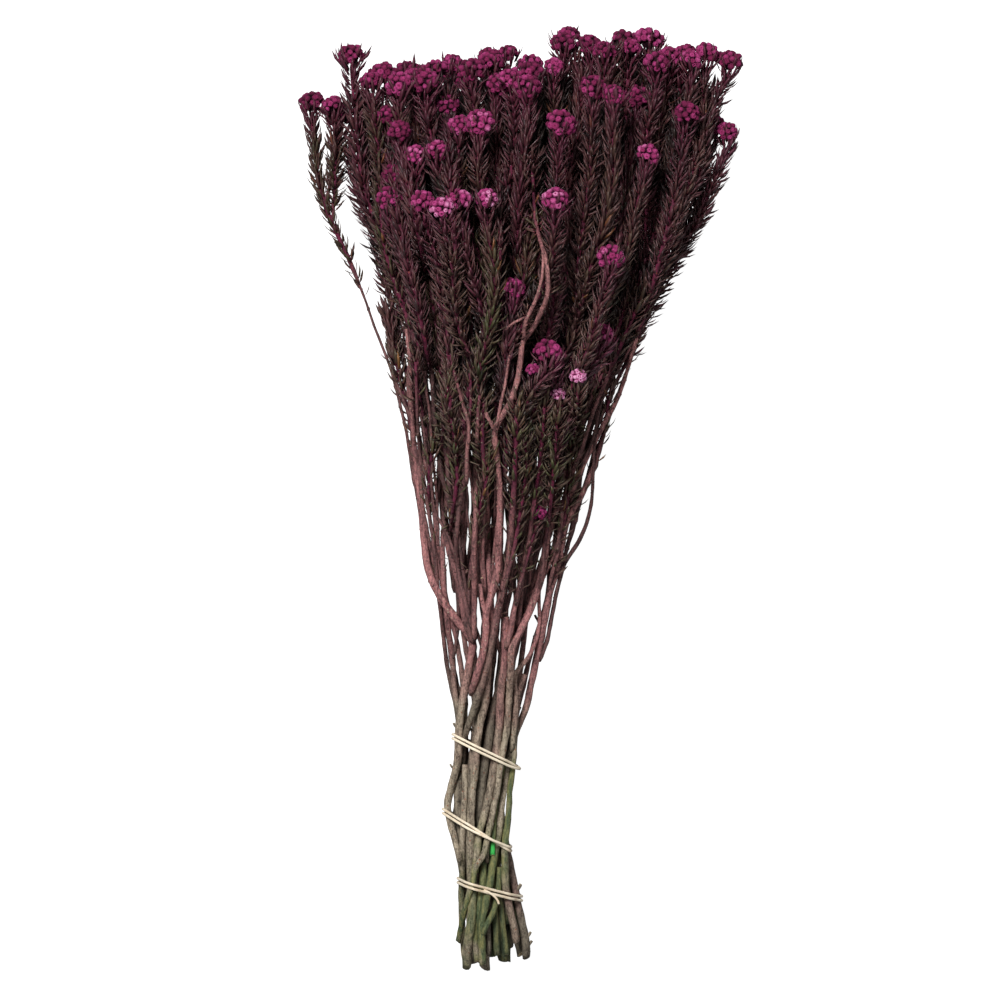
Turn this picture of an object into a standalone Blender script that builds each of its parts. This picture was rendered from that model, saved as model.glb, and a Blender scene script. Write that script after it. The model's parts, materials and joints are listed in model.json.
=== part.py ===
"""A tied bunch of preserved phylica, lying on its side on a flat surface.

The bunch lies along Y: the cut ends are at -Y and the flower heads at +Y. +Z is up, away from the
surface, and the origin is the middle of the bunch's footprint. Fifteen woody sprigs are held by
three rubber bands. Each sprig is a forked woody stem, a crown of leafy shoots that grow from the
stem's ends, and groups of woolly flower heads at the tips of the shoots.
"""

import math

import bmesh
import bpy
import numpy as np

MM = 0.001

# Driving dimensions, in millimetres.
HEAD_RADIUS = 7.6
GAP = 0.3                # between two pieces that touch
LEVEL_STEP = 8.0         # heights at which the strands are kept apart
RING_STEP = 33.0         # distance between the rings of a tube
WOOD_SIDES = 5
SHOOT_SIDES = 5
TOUCHING = 1.74          # distance between two heads of a group, in head radii
HEAD_STAGGER = 4.5       # how much higher one head of a group may sit than its neighbour
BAND_RADIUS = 1.0
BAND_CLEARANCE = 1.1     # of a band's rounded corners, so that its straight runs clear the stems
BAND_SIDES = 5
BAND_POINTS = 20         # points in each of a band's two turns

# The outer form of the bunch: y, centre x, half width, half depth, height of its underside.
BUNCH_FORM = (
    (-264, -14, 21, 14, 0.0),
    (-238, -16, 18, 14, 2.0),
    (-216, -18, 16.5, 14, 3.6),
    (-182, -25, 16.5, 14.5, 5.5),
    (-140, -21, 16.5, 15, 7.0),
    (-110, -18, 22, 18, 8.0),
    (-78, -16, 30, 23, 8.5),
    (-33, -14, 40, 29, 8.0),
    (11, -11, 49, 35, 7.0),
    (55, -9, 62, 43, 5.0),
    (93, -2, 76, 50, 3.0),
    (132, 1, 91, 57, 1.0),
    (165, 0, 102, 61, 0.0),
    (209, 1, 113, 62, 0.0),
    (264, 1, 118, 61, 2.0),
)

# Each sprig: where it is cut off, its radius there, and its woody branches. A branch leaves the
# first one at "fork", has leaves from "leaf" up, and forks again into shoots that end in "tips".
# Branches with the same "group" carry heads that touch each other.
SPRIGS = (
    {"cut": -252, "radius": 2.8, "branches": (
        {"fork": None, "leaf": 118, "group": 1, "tips": ((-112, 218, 56), (-101, 216, 62), (-96, 206, 54))},
    )},
    {"cut": -258, "radius": 3.0, "branches": (
        {"fork": None, "leaf": 92, "group": 1, "tips": ((-96, 243, 68),)},
        {"fork": -30, "leaf": 84, "group": 2, "tips": ((-82, 228, 80), (-76, 236, 70))},
        {"fork": 10, "leaf": 62, "group": 3, "tips": ((-74, 163, 98),)},
    )},
    {"cut": -246, "radius": 3.1, "branches": (
        {"fork": None, "leaf": 52, "group": 1, "tips": ((-61, 230, 74), (-66, 238, 62), (-68, 219, 84))},
        {"fork": -70, "leaf": 44, "group": 1, "tips": ((-47, 235, 70), (-53, 227, 84), (-36, 240, 60))},
    )},
    {"cut": -255, "radius": 2.8, "branches": (
        {"fork": None, "leaf": 30, "group": 1, "tips": ((-18, 243, 60), (-6, 245, 50))},
        {"fork": -52, "leaf": 38, "group": 1, "tips": ((-18, 232, 74), (-28, 223, 80))},
    )},
    {"cut": -240, "radius": 3.0, "branches": (
        {"fork": None, "leaf": 22, "group": 1, "tips": ((5, 233, 82), (16, 236, 78), (4, 242, 66))},
        {"fork": -64, "leaf": 34, "group": 1, "tips": ((-6, 224, 88), (4, 220, 98))},
    )},
    {"cut": -257, "radius": 2.9, "branches": (
        {"fork": None, "leaf": 48, "group": 1, "tips": ((25, 254, 56), (22, 247, 68))},
        {"fork": -44, "leaf": 56, "group": 1, "tips": ((35, 249, 60), (45, 242, 68))},
    )},
    {"cut": -250, "radius": 2.9, "branches": (
        {"fork": None, "leaf": 60, "group": 1, "tips": ((59, 247, 62), (57, 254, 50))},
        {"fork": -20, "leaf": 72, "group": 1, "tips": ((72, 253, 54),)},
    )},
    {"cut": -243, "radius": 3.2, "branches": (
        {"fork": None, "leaf": 72, "group": 1, "tips": ((82, 242, 74), (73, 236, 84), (92, 240, 78))},
        {"fork": -60, "leaf": 84, "group": 1, "tips": ((104, 248, 60), (97, 243, 68), (110, 236, 66))},
    )},
    {"cut": -254, "radius": 2.7, "branches": (
        {"fork": None, "leaf": 90, "group": 1, "tips": ((107, 206, 56), (107, 193, 62))},
        {"fork": -8, "leaf": 98, "group": 1, "tips": ((94, 208, 62),)},
    )},
    {"cut": -236, "radius": 3.1, "branches": (
        {"fork": None, "leaf": 30, "group": 1, "tips": ((38, 223, 104), (49, 217, 107))},
        {"fork": -75, "leaf": 40, "group": 2, "tips": ((21, 203, 112),)},
        {"fork": -30, "leaf": 66, "group": 3, "tips": ((71, 187, 100),)},
    )},
    {"cut": -260, "radius": 3.0, "branches": (
        {"fork": None, "leaf": 18, "group": 1, "tips": ((-20, 162, 118),)},
        {"fork": -48, "leaf": 26, "group": 2, "tips": ((-36, 161, 116), (-41, 149, 120))},
        {"fork": -86, "leaf": 34, "group": 3, "tips": ((-55, 161, 108),)},
    )},
    {"cut": -248, "radius": 2.9, "branches": (
        {"fork": None, "leaf": 24, "group": 1, "tips": ((-24, 204, 102), (-33, 203, 97))},
        {"fork": -58, "leaf": 36, "group": 2, "tips": ((-49, 189, 104), (-60, 187, 98))},
    )},
    {"cut": -256, "radius": 3.1, "branches": (
        {"fork": None, "leaf": -6, "group": 1, "tips": ((18, 161, 118),)},
        {"fork": -92, "leaf": 4, "group": 2, "tips": ((-10, 114, 104),)},
        {"fork": -36, "leaf": 20, "group": 3, "tips": ((49, 131, 106),)},
        {"fork": -66, "leaf": -18, "group": 4, "tips": ((18, 79, 92), (30, 70, 90), (20, 60, 88))},
        {"fork": -50, "leaf": 8, "group": 5, "tips": ((42, 90, 88),)},
    )},
    {"cut": -251, "radius": 3.0, "branches": (
        {"fork": None, "leaf": 34, "group": 1, "tips": ((-58, 196, 12), (-70, 190, 20), (-47, 203, 9))},
        {"fork": -54, "leaf": 44, "group": 1, "tips": ((-36, 196, 8), (-26, 205, 12), (-44, 186, 16))},
    )},
    {"cut": -245, "radius": 3.0, "branches": (
        {"fork": None, "leaf": 40, "group": 1, "tips": ((52, 200, 8), (64, 206, 14), (44, 190, 14))},
        {"fork": -66, "leaf": 28, "group": 2, "tips": ((8, 196, 8), (-3, 190, 16), (17, 187, 14))},
    )},
)

BANDS = (
    {"name": "rubber_band_upper", "y": -140, "tilt": 26, "crossing": 200},
    {"name": "rubber_band_middle", "y": -184, "tilt": 29, "crossing": 250},
    {"name": "rubber_band_lower", "y": -217, "tilt": 16, "crossing": 80},
)
TIE_ZONE = (-262, -128)

WOOD, LEAF, HEAD = 0, 1, 2
FORK_REACH = 62.0        # height over which a branch parts from its parent
CUT_SPREAD = 0.82        # how far out the stems start within the tie, as a share of the bunch
LINK_HEIGHT = 22.0       # the crown's branches touch this far above their lowest leaves
FORK_ZONE = -110.0       # the stems keep most of their thickness up to here
TRUNK_TAPER = 0.86       # a stem's thickness at the fork zone, as a share of that at its cut end
BRANCH_SHARE = 0.78      # a branch's thickness as a share of its parent's
TWIG_RADIUS = 1.3        # of the wood where the leaves begin
SHOOT_RADIUS = 6.0       # of a shoot with its leaves
LOWEST_LEAVES = 2.3      # radius of a shoot where its leaves begin
LEAF_RUN_IN = 34.0       # the leaves reach their full length over this height
NECK_RADIUS = 3.6        # of a shoot just below its flower head
NECK_LENGTH = 26.0
SMALLEST_RADIUS = 0.9
LINK_OVERLAP = 0.76      # distance between two linked shoots, as a share of their radii
FLATTENING = 0.86        # a piece on the surface is this much of its radius above it
HOMING = 0.02            # how strongly a strand that was pushed aside returns to its place
TIE_PULL = 0.012         # how strongly the bands draw the stems together
CLEARANCE = 1.5 * GAP    # kept between two pieces while they are moved apart
SAME_PIECE = 0.62        # parts of one piece may be this much closer together
FOOT_BEND = (-262.0, -222.0)
SETTLING_ROUNDS = 30     # in which the rings and the heads move apart
THINNING_ROUNDS = 4      # in which what still touches is made thinner

COLOURS = {
    "bark": (0.22, 0.15, 0.13, 0.85),
    "leaf": (0.09, 0.05, 0.05, 0.7),
    "flower": (0.32, 0.06, 0.16, 0.9),
    "rubber": (0.83, 0.77, 0.65, 0.5),
}


def form_at(y):
    """Centre x, half width, half depth and underside height of the bunch at height y."""
    table = np.array(BUNCH_FORM, float)
    y = np.clip(y, table[0, 0], table[-1, 0])
    i = int(np.clip(np.searchsorted(table[:, 0], y) - 1, 0, len(table) - 2))
    span = table[i + 1, 0] - table[i, 0]
    t = (y - table[i, 0]) / span
    slopes = np.gradient(table[:, 1:], table[:, 0], axis=0)
    h = (2 * t**3 - 3 * t**2 + 1, t**3 - 2 * t**2 + t, 3 * t**2 - 2 * t**3, t**3 - t**2)
    return (h[0] * table[i, 1:] + h[1] * span * slopes[i]
            + h[2] * table[i + 1, 1:] + h[3] * span * slopes[i + 1])


def place_in_form(share, y):
    """(x, z) of a point that sits at this share of the bunch's width and depth."""
    centre, width, depth, lift = form_at(y)
    return np.array((centre + share[0] * width, lift + depth + share[1] * depth))


def share_of_form(x, y, z):
    centre, width, depth, lift = form_at(y)
    return np.array(((x - centre) / width, (z - lift - depth) / depth))


def eased(t):
    t = np.clip(t, 0, 1)
    return t * (2 - t)


def beside(point, other):
    """The point drawn to a head beside the other one: touching it, and at nearly its height."""
    away = point - other
    away[1] = np.clip(away[1], -HEAD_STAGGER, HEAD_STAGGER)
    flat = math.sqrt((TOUCHING * HEAD_RADIUS) ** 2 - away[1] ** 2)
    away[[0, 2]] *= flat / max(np.linalg.norm(away[[0, 2]]), 1e-6)
    return other + away


def gathered_tips(sprig):
    """The sprig's tips, with the heads of each group drawn together until they touch."""
    done = {}
    tips = []
    for branch in sprig["branches"]:
        own = []
        for tip in branch["tips"]:
            point = np.array(tip, float)
            others = done.setdefault(branch["group"], [])
            if others:
                nearest = min(others, key=lambda other: np.linalg.norm(point - other))
                point = beside(point, nearest)
            others.append(point)
            own.append(point)
        tips.append(own)
    return tips


def strand_list():
    """One strand for each shoot tip, from its fork, or its cut end, to its flower head."""
    strands = []
    for number, sprig in enumerate(SPRIGS):
        tips = gathered_tips(sprig)
        shares = [share_of_form(*tip[0]) for tip in tips]
        tie_share = np.mean(shares, axis=0)
        tie_share /= max(1.0, np.linalg.norm(tie_share))
        trunk = len(strands)
        for branch, points in zip(sprig["branches"], tips):
            main = len(strands)
            for k, point in enumerate(points):
                if main == trunk and k == 0:
                    start, parent = sprig["cut"], None
                elif k == 0:
                    start, parent = branch["fork"], trunk
                else:
                    start, parent = branch["leaf"] + (point[1] - branch["leaf"]) * (0.22 + 0.13 * k), main
                strands.append({
                    "sprig": number, "group": branch["group"], "parent": parent, "start": start,
                    "leaf": branch["leaf"] if k == 0 else start, "tip": point,
                    "share": share_of_form(*point), "tie_share": tie_share * CUT_SPREAD,
                    "foot_radius": sprig["radius"], "main": k == 0,
                    "trunk": None if len(strands) == trunk else strands[trunk],
                })
    return strands


def wood_radius(strand, y):
    """Radius of bare wood: the trunk stays thick up to the fork zone, a branch is thinner than it."""
    if strand["parent"] is None:
        radii = (strand["foot_radius"], TRUNK_TAPER * strand["foot_radius"], TWIG_RADIUS)
        return float(np.interp(y, (TIE_ZONE[0], FORK_ZONE, strand["leaf"]), radii))
    first = BRANCH_SHARE * wood_radius(strand["trunk"], strand["start"])
    return float(np.interp(y, (strand["start"], strand["leaf"]), (first, TWIG_RADIUS)))


def wanted_radius(strand, y):
    """Radius and kind of the strand at height y: wood, then leaves, then the ball of the head."""
    tip = strand["tip"][1]
    if y > tip - HEAD_RADIUS:
        return math.sqrt(max(0.0, HEAD_RADIUS**2 - (y - tip) ** 2)), HEAD
    if y < strand["leaf"]:
        return wood_radius(strand, y), WOOD
    lowest = LOWEST_LEAVES if strand["main"] else NECK_RADIUS
    low_part = lowest + (SHOOT_RADIUS - lowest) * eased((y - strand["leaf"]) / LEAF_RUN_IN)
    below = np.clip((tip - HEAD_RADIUS - y) / NECK_LENGTH, 0, 1)
    return min(low_part, NECK_RADIUS + (SHOOT_RADIUS - NECK_RADIUS) * below), LEAF


def body_of(strand, kind):
    """Strands with the same body grow into one piece and may overlap."""
    if kind == HEAD:
        return 10000 + 100 * strand["sprig"] + strand["group"]
    return 1000 * kind + strand["sprig"]


def first_paths(strands, levels):
    """Each strand's (x, z) at every level, before the strands are moved apart."""
    paths = np.zeros((len(strands), len(levels), 2))
    for i, strand in enumerate(strands):
        for k, y in enumerate(levels):
            own = place_in_form(strand["share"], y)
            if strand["parent"] is None:
                rise = np.clip((y - TIE_ZONE[1]) / 150.0, 0, 1)
                rise = rise * rise * (3 - 2 * rise)
                share = strand["tie_share"] * (1 - rise) + strand["share"] * rise
                paths[i, k] = place_in_form(share, y)
            else:
                parent = paths[strand["parent"], k]
                paths[i, k] = parent + (own - parent) * eased((y - strand["start"]) / FORK_REACH)
    return paths


def part_strands(strands, levels, rounds=260, last_rounds=40):
    """Moves the strands sideways until none is inside another, as packed stems and shoots lie."""
    first = first_paths(strands, levels)
    moved = np.zeros_like(first)
    count = len(strands)
    radius = np.zeros((count, len(levels)))
    body = np.zeros((count, len(levels)), int)
    alive = np.zeros((count, len(levels)), bool)
    for i, strand in enumerate(strands):
        for k, y in enumerate(levels):
            radius[i, k], kind = wanted_radius(strand, y)
            body[i, k] = body_of(strand, kind)
            alive[i, k] = strand["start"] < y < strand["tip"][1] + HEAD_RADIUS
    sprig = np.array([s["sprig"] for s in strands])
    for turn in range(rounds):
        places = first + moved
        for k, y in enumerate(levels):
            here = np.where(alive[:, k])[0]
            at, size = places[here, k], radius[here, k]
            away = at[:, None] - at[None]
            distance = np.maximum(np.linalg.norm(away, axis=2), 1e-6)
            need = size[:, None] + size[None] + CLEARANCE
            same_piece = body[here, k][:, None] == body[here, k][None]
            need = np.where(same_piece, SAME_PIECE * need, need)
            short = np.clip(need - distance, 0, NECK_RADIUS)
            np.fill_diagonal(short, 0)
            push = (away / distance[..., None] * short[..., None]).sum(axis=1) * 0.35
            moved[here, k] += push
            if turn < rounds - last_rounds:
                moved[here, k] *= 1 - HOMING
            if y < TIE_ZONE[1] and turn < rounds - last_rounds:
                middle = place_in_form((0, 0), y)
                moved[here, k] -= (first[here, k] + moved[here, k] - middle) * TIE_PULL
            low = np.maximum(FLATTENING * size, 0.1)
            moved[here, k, 1] = np.maximum(moved[here, k, 1], low - first[here, k, 1])
        for i, strand in enumerate(strands):
            own = np.where(alive[i])[0]
            line = moved[i, own]
            if strand["parent"] is not None:
                line[0] = 0.5 * (line[0] + moved[strand["parent"], own[0]])
            softer = line.copy()
            softer[1:-1] = 0.25 * line[:-2] + 0.5 * line[1:-1] + 0.25 * line[2:]
            softer[0] = 0.6 * line[0] + 0.4 * line[1]
            softer[-1] = 0.6 * line[-1] + 0.4 * line[-2]
            moved[i, own] = softer
        for i, strand in enumerate(strands):
            if strand["main"] and strand["parent"] is not None:
                link_branch(strands, i, levels, first, moved, radius)
    return first + moved


def link_branch(strands, i, levels, first, moved, radius):
    """Draws a leafy branch to the nearest one of its sprig, so that their leaves touch."""
    strand = strands[i]
    best = None
    for j, other in enumerate(strands):
        if other["sprig"] != strand["sprig"] or not other["main"] or j >= i:
            continue
        height = max(strand["leaf"], other["leaf"]) + LINK_HEIGHT
        k = int(np.argmin(abs(levels - height)))
        if height > min(strand["tip"][1], other["tip"][1]) - 2 * HEAD_RADIUS:
            continue
        away = (first + moved)[i, k] - (first + moved)[j, k]
        distance = np.linalg.norm(away)
        if best is None or distance < best[0]:
            best = (distance, j, k, away)
    distance, j, k, away = best
    strand["link"], strand["linked_to"] = levels[k], j
    reach = LINK_OVERLAP * (radius[i, k] + radius[j, k])
    if distance > reach:
        pull = away / distance * (distance - reach) * 0.2
        for near in (-2, -1, 0, 1, 2):
            moved[i, k + near] -= pull * (1 - abs(near) / 3)
            moved[j, k + near] += pull * (1 - abs(near) / 3)


def settled_paths(strands, levels):
    """The strands at rest: the foot of the bunch is bent down until its lowest stem touches."""
    paths = part_strands(strands, levels)
    trunks = [i for i, strand in enumerate(strands) if strand["parent"] is None]
    height = min(np.interp(strands[i]["start"], levels, paths[i, :, 1]) - strands[i]["foot_radius"]
                 for i in trunks)
    bend = np.clip((FOOT_BEND[1] - levels) / (FOOT_BEND[1] - FOOT_BEND[0]), 0, 1)
    for i in trunks:
        paths[i, :, 1] -= height * bend**2 * (3 - 2 * bend)
    return paths


class Tube:
    """A run of round rings, each in a plane across Y. It is one strand's wood or one strand's leaves.

    The wood and the leaves of a strand share one table of centres, so they move together.
    """

    def __init__(self, owner, body, kind, heights, centres, radii):
        self.owner, self.body, self.kind = owner, body, kind
        self.heights, self.centres, self.radii = np.array(heights), centres, np.array(radii)

    def shares_at(self, y):
        """The two rings around height y, and how much each one counts there."""
        above = int(np.clip(np.searchsorted(self.heights, y), 1, len(self.heights) - 1))
        span = self.heights[above] - self.heights[above - 1]
        upper = np.clip((y - self.heights[above - 1]) / span, 0, 1)
        return (above - 1, 1 - upper), (above, upper)

    def section(self, y):
        """Centre x, centre z and radius at height y, or None past the tube's ends."""
        if not self.heights[0] <= y <= self.heights[-1]:
            return None
        (low, lower), (high, upper) = self.shares_at(y)
        x, z = lower * self.centres[low] + upper * self.centres[high]
        return x, z, lower * self.radii[low] + upper * self.radii[high]

    def shift(self, y, step):
        shares = self.shares_at(y)
        total = sum(share**2 for _, share in shares)
        for ring, share in shares:
            self.centres[ring] += step * share / total
            self.centres[ring, 1] = max(self.centres[ring, 1], FLATTENING * self.radii[ring])

    def squeeze(self, y, amount):
        for ring, share in self.shares_at(y):
            if share > 0.05:
                self.radii[ring] = max(SMALLEST_RADIUS, self.radii[ring] - amount)


class Ball:
    """One flower head at the end of its strand."""

    def __init__(self, owner, body, centre, last_ring):
        self.owner, self.body, self.kind = owner, body, HEAD
        self.centre, self.last_ring = centre, last_ring

    def section(self, y):
        off = y - self.centre[1]
        if abs(off) >= HEAD_RADIUS:
            return None
        return self.centre[0], self.centre[2], math.sqrt(HEAD_RADIUS**2 - off**2)

    def shift(self, y, step):
        self.centre[[0, 2]] += step
        self.centre[2] = max(self.centre[2], HEAD_RADIUS)
        self.last_ring[:] = self.centre[[0, 2]]

    def squeeze(self, y, amount):
        pass


def ring_heights(low, high, marks=()):
    count = max(1, round((high - low) / RING_STEP))
    heights = list(np.linspace(low, high, count + 1))
    for mark in sorted(marks):
        if min(abs(mark - height) for height in heights) > 7 and low < mark < high:
            heights.append(mark)
    return sorted(heights)


def link_heights(strands, i):
    """The heights where this strand's leaves are drawn to another branch's leaves."""
    own = [strands[i]["link"]] if "link" in strands[i] else []
    return own + [s["link"] for s in strands if s.get("linked_to") == i]


def strand_pieces(strands, levels, paths):
    """The wooden and the leafy tubes of every strand, and the balls of the flower heads."""
    tubes, balls = [], []
    for i, strand in enumerate(strands):
        tip, leaf, start = strand["tip"][1], strand["leaf"], strand["start"]
        leaf_top = tip - HEAD_RADIUS - GAP
        wood = ring_heights(start, leaf) if leaf > start else []
        marks = {leaf + LEAF_RUN_IN / 2, leaf_top - NECK_LENGTH / 2, *link_heights(strands, i)}
        leafy = ring_heights(leaf, leaf_top, marks)
        heights = wood[:-1] + leafy
        centres = np.array([[np.interp(y, levels, paths[i, :, axis]) for axis in (0, 1)] for y in heights])
        if strand["parent"] is not None:
            centres[0] = [np.interp(start, levels, paths[strand["parent"], :, axis]) for axis in (0, 1)]
        if wood:
            wood[-1] -= GAP / 2
            radii = [wood_radius(strand, y) for y in wood]
            tubes.append(Tube(i, body_of(strand, WOOD), WOOD, wood, centres[:len(wood)], radii))
        leafy[0] += GAP / 2
        radii = [wanted_radius(strand, y)[0] for y in leafy]
        tubes.append(Tube(i, body_of(strand, LEAF), LEAF, leafy, centres[-len(leafy):], radii))
        centre = np.array((centres[-1, 0], tip, centres[-1, 1]))
        balls.append(Ball(i, body_of(strand, HEAD), centre, centres[-1]))
    return tubes, balls


def gather_balls(balls):
    """Draws the heads of a group together again after the strands have been parted."""
    placed = {}
    for ball in balls:
        others = placed.setdefault(ball.body, [])
        if others:
            nearest = min(others, key=lambda other: np.linalg.norm(ball.centre - other.centre))
            step = beside(ball.centre, nearest.centre) - ball.centre
            ball.shift(0, step[[0, 2]])
        others.append(ball)


def settle(tubes, balls, squeezing, heights=np.arange(-262.0, 268.0, 3.0)):
    """Pushes overlapping pieces apart, or makes them thinner where they give way to each other."""
    for y in heights:
        here = [(piece, piece.section(y)) for piece in tubes + balls]
        here = [(piece, section) for piece, section in here if section is not None]
        body = np.array([piece.body for piece, _ in here])
        x, z, radius = np.array([section for _, section in here]).reshape(-1, 3).T
        away = np.stack((x[:, None] - x, z[:, None] - z), axis=-1)
        distance = np.maximum(np.linalg.norm(away, axis=2), 1e-6)
        over = radius[:, None] + radius + CLEARANCE - distance
        over[body[:, None] == body] = 0
        for i, j in zip(*np.where(np.triu(over, 1) > 0)):
            first, second = here[i][0], here[j][0]
            if squeezing:
                soft = [one for one in (first, second) if one.kind == LEAF]
                soft = soft or [one for one in (first, second) if one.kind == WOOD]
                for one in soft:
                    one.squeeze(y, over[i, j] / len(soft))
            else:
                step = away[i, j] / distance[i, j] * over[i, j] * 0.4
                first.shift(y, step)
                second.shift(y, -step)


def draw_links(strands, tubes):
    """Keeps the leafy branches of a sprig touching where they were drawn together."""
    leafy = {tube.owner: tube for tube in tubes if tube.kind == LEAF}
    for i, strand in enumerate(strands):
        if "link" not in strand:
            continue
        y = strand["link"]
        one, other = leafy[i], leafy[strand["linked_to"]]
        (x, z, radius), (other_x, other_z, other_radius) = one.section(y), other.section(y)
        away = np.array((x - other_x, z - other_z))
        distance = np.linalg.norm(away)
        excess = distance - LINK_OVERLAP * (radius + other_radius)
        if excess > 0:
            one.shift(y, -away / distance * excess / 2)
            other.shift(y, away / distance * excess / 2)


def new_mesh(name, build):
    mesh = bpy.data.meshes.new(name)
    shape = bmesh.new()
    build(shape)
    bmesh.ops.recalc_face_normals(shape, faces=shape.faces)
    shape.to_mesh(mesh)
    shape.free()
    return mesh


def tube_mesh(tube, sides):
    def build(shape):
        rings = []
        for y, (x, z), radius in zip(tube.heights, tube.centres, tube.radii):
            ring = []
            for k in range(sides):
                turn = 2 * math.pi * (k + 0.5) / sides
                height = max(0.0, z + radius * math.sin(turn))
                ring.append(shape.verts.new((MM * (x + radius * math.cos(turn)), MM * y, MM * height)))
            rings.append(ring)
        for low, high in zip(rings, rings[1:]):
            for k in range(sides):
                shape.faces.new((low[k], low[k - 1], high[k - 1], high[k]))
        shape.faces.new(rings[0])
        shape.faces.new(rings[-1][::-1])

    return new_mesh("tube", build)


def ball_mesh(ball):
    def build(shape):
        made = bmesh.ops.create_icosphere(shape, subdivisions=2, radius=MM * HEAD_RADIUS)
        bmesh.ops.translate(shape, verts=made["verts"], vec=[MM * c for c in ball.centre])

    return new_mesh("ball", build)


def fill_cavities(mesh):
    """Deletes the inner walls of hollows that the joined shapes enclose, so that the solid is full."""
    shape = bmesh.new()
    shape.from_mesh(mesh)
    left = set(shape.faces)
    while left:
        shell = [left.pop()]
        for face in shell:
            for edge in face.edges:
                for other in edge.link_faces:
                    if other in left:
                        left.discard(other)
                        shell.append(other)
        volume = sum(f.calc_center_median().dot(f.normal) * f.calc_area() for f in shell)
        if volume < 0:
            bmesh.ops.delete(shape, geom=shell, context="FACES")
            loose = [v for v in shape.verts if not v.link_faces]
            bmesh.ops.delete(shape, geom=loose, context="VERTS")
    shape.to_mesh(mesh)
    shape.free()


def joined_solid(name, meshes, material, parent):
    """One object from overlapping closed meshes, joined by Boolean unions."""
    scene = bpy.context.scene.collection
    base = bpy.data.objects.new(name, meshes[0])
    scene.objects.link(base)
    helpers = []
    for mesh in meshes[1:]:
        helper = bpy.data.objects.new("helper", mesh)
        scene.objects.link(helper)
        helper.hide_render = True
        helper.display_type = "WIRE"
        helpers.append(helper)
        union = base.modifiers.new("union", "BOOLEAN")
        union.operation = "UNION"
        union.object = helper
    bpy.context.view_layer.update()
    graph = bpy.context.evaluated_depsgraph_get()
    mesh = bpy.data.meshes.new_from_object(base.evaluated_get(graph))
    base.modifiers.clear()
    base.data = mesh
    mesh.name = name
    fill_cavities(mesh)
    for helper in helpers:
        bpy.data.objects.remove(helper)
    return finished(base, material, parent)


def finished(obj, material, parent):
    obj.data.materials.clear()
    obj.data.materials.append(material)
    obj.data.shade_smooth()
    obj.data.set_sharp_from_angle(angle=math.radians(50))
    obj.parent = parent
    return obj


def new_material(name):
    red, green, blue, roughness = COLOURS[name]
    material = bpy.data.materials.new(name)
    material.use_nodes = True
    shader = material.node_tree.nodes["Principled BSDF"]
    shader.inputs["Base Color"].default_value = (red, green, blue, 1)
    shader.inputs["Roughness"].default_value = roughness
    return material


def hull_of(points):
    """The convex hull of points in a plane, anticlockwise."""
    points = sorted(map(tuple, points))

    def half(run):
        out = []
        for p in run:
            while len(out) > 1 and ((out[-1][0] - out[-2][0]) * (p[1] - out[-2][1])
                                    - (out[-1][1] - out[-2][1]) * (p[0] - out[-2][0])) <= 0:
                out.pop()
            out.append(p)
        return out[:-1]

    return np.array(half(points) + half(points[::-1]))


def band_path(band, stems):
    """The two turns of a band around the stems, with one place where a turn crosses the other."""
    slope = math.tan(math.radians(band["tilt"]))
    middle = form_at(band["y"])[0]
    round_stems = []
    for stem in stems:
        y = band["y"]
        for _ in range(4):
            x, z, radius = stem.section(y)
            y = band["y"] - slope * (x - middle)
        reach = radius + BAND_RADIUS + BAND_CLEARANCE
        for k in range(24):
            turn = 2 * math.pi * k / 24
            round_stems.append((x + reach * math.cos(turn) / math.cos(math.radians(band["tilt"])) ** 0.5,
                                z + reach * math.sin(turn)))
    hull = hull_of(round_stems)
    ring = np.vstack((hull, hull[:1]))
    run = np.concatenate(([0], np.cumsum(np.linalg.norm(np.diff(ring, axis=0), axis=1))))
    centre = hull.mean(axis=0)
    points = []
    for k in range(2 * BAND_POINTS):
        turn = 2.0 * k / (2 * BAND_POINTS)
        share = (turn + band["crossing"] / 360.0 + 0.5) % 1.0
        x, z = (np.interp(share * run[-1], run, ring[:, axis]) for axis in (0, 1))
        beside = np.clip(3 * math.cos(math.pi * turn), -1, 1)
        over = math.sqrt(1 - beside**2) if turn < 1 else 0.0
        out = np.array((x, z)) - centre
        out /= np.linalg.norm(out)
        x, z = np.array((x, z)) + out * over * 2.3 * BAND_RADIUS
        points.append((x, band["y"] - slope * (x - middle) + beside * 1.15 * BAND_RADIUS, z))
    return np.array(points)


def band_mesh(points):
    def build(shape):
        rings = []
        count = len(points)
        for k in range(count):
            along = points[(k + 1) % count] - points[k - 1]
            along /= np.linalg.norm(along)
            side = np.cross(along, (0, 1, 0))
            side /= np.linalg.norm(side)
            up = np.cross(side, along)
            ring = []
            for j in range(BAND_SIDES):
                turn = 2 * math.pi * j / BAND_SIDES
                spot = points[k] + BAND_RADIUS * (math.cos(turn) * side + math.sin(turn) * up)
                ring.append(shape.verts.new([MM * c for c in spot]))
            rings.append(ring)
        for k, ring in enumerate(rings):
            following = rings[(k + 1) % count]
            for j in range(BAND_SIDES):
                shape.faces.new((ring[j], ring[j - 1], following[j - 1], following[j]))

    return new_mesh("band", build)


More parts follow.
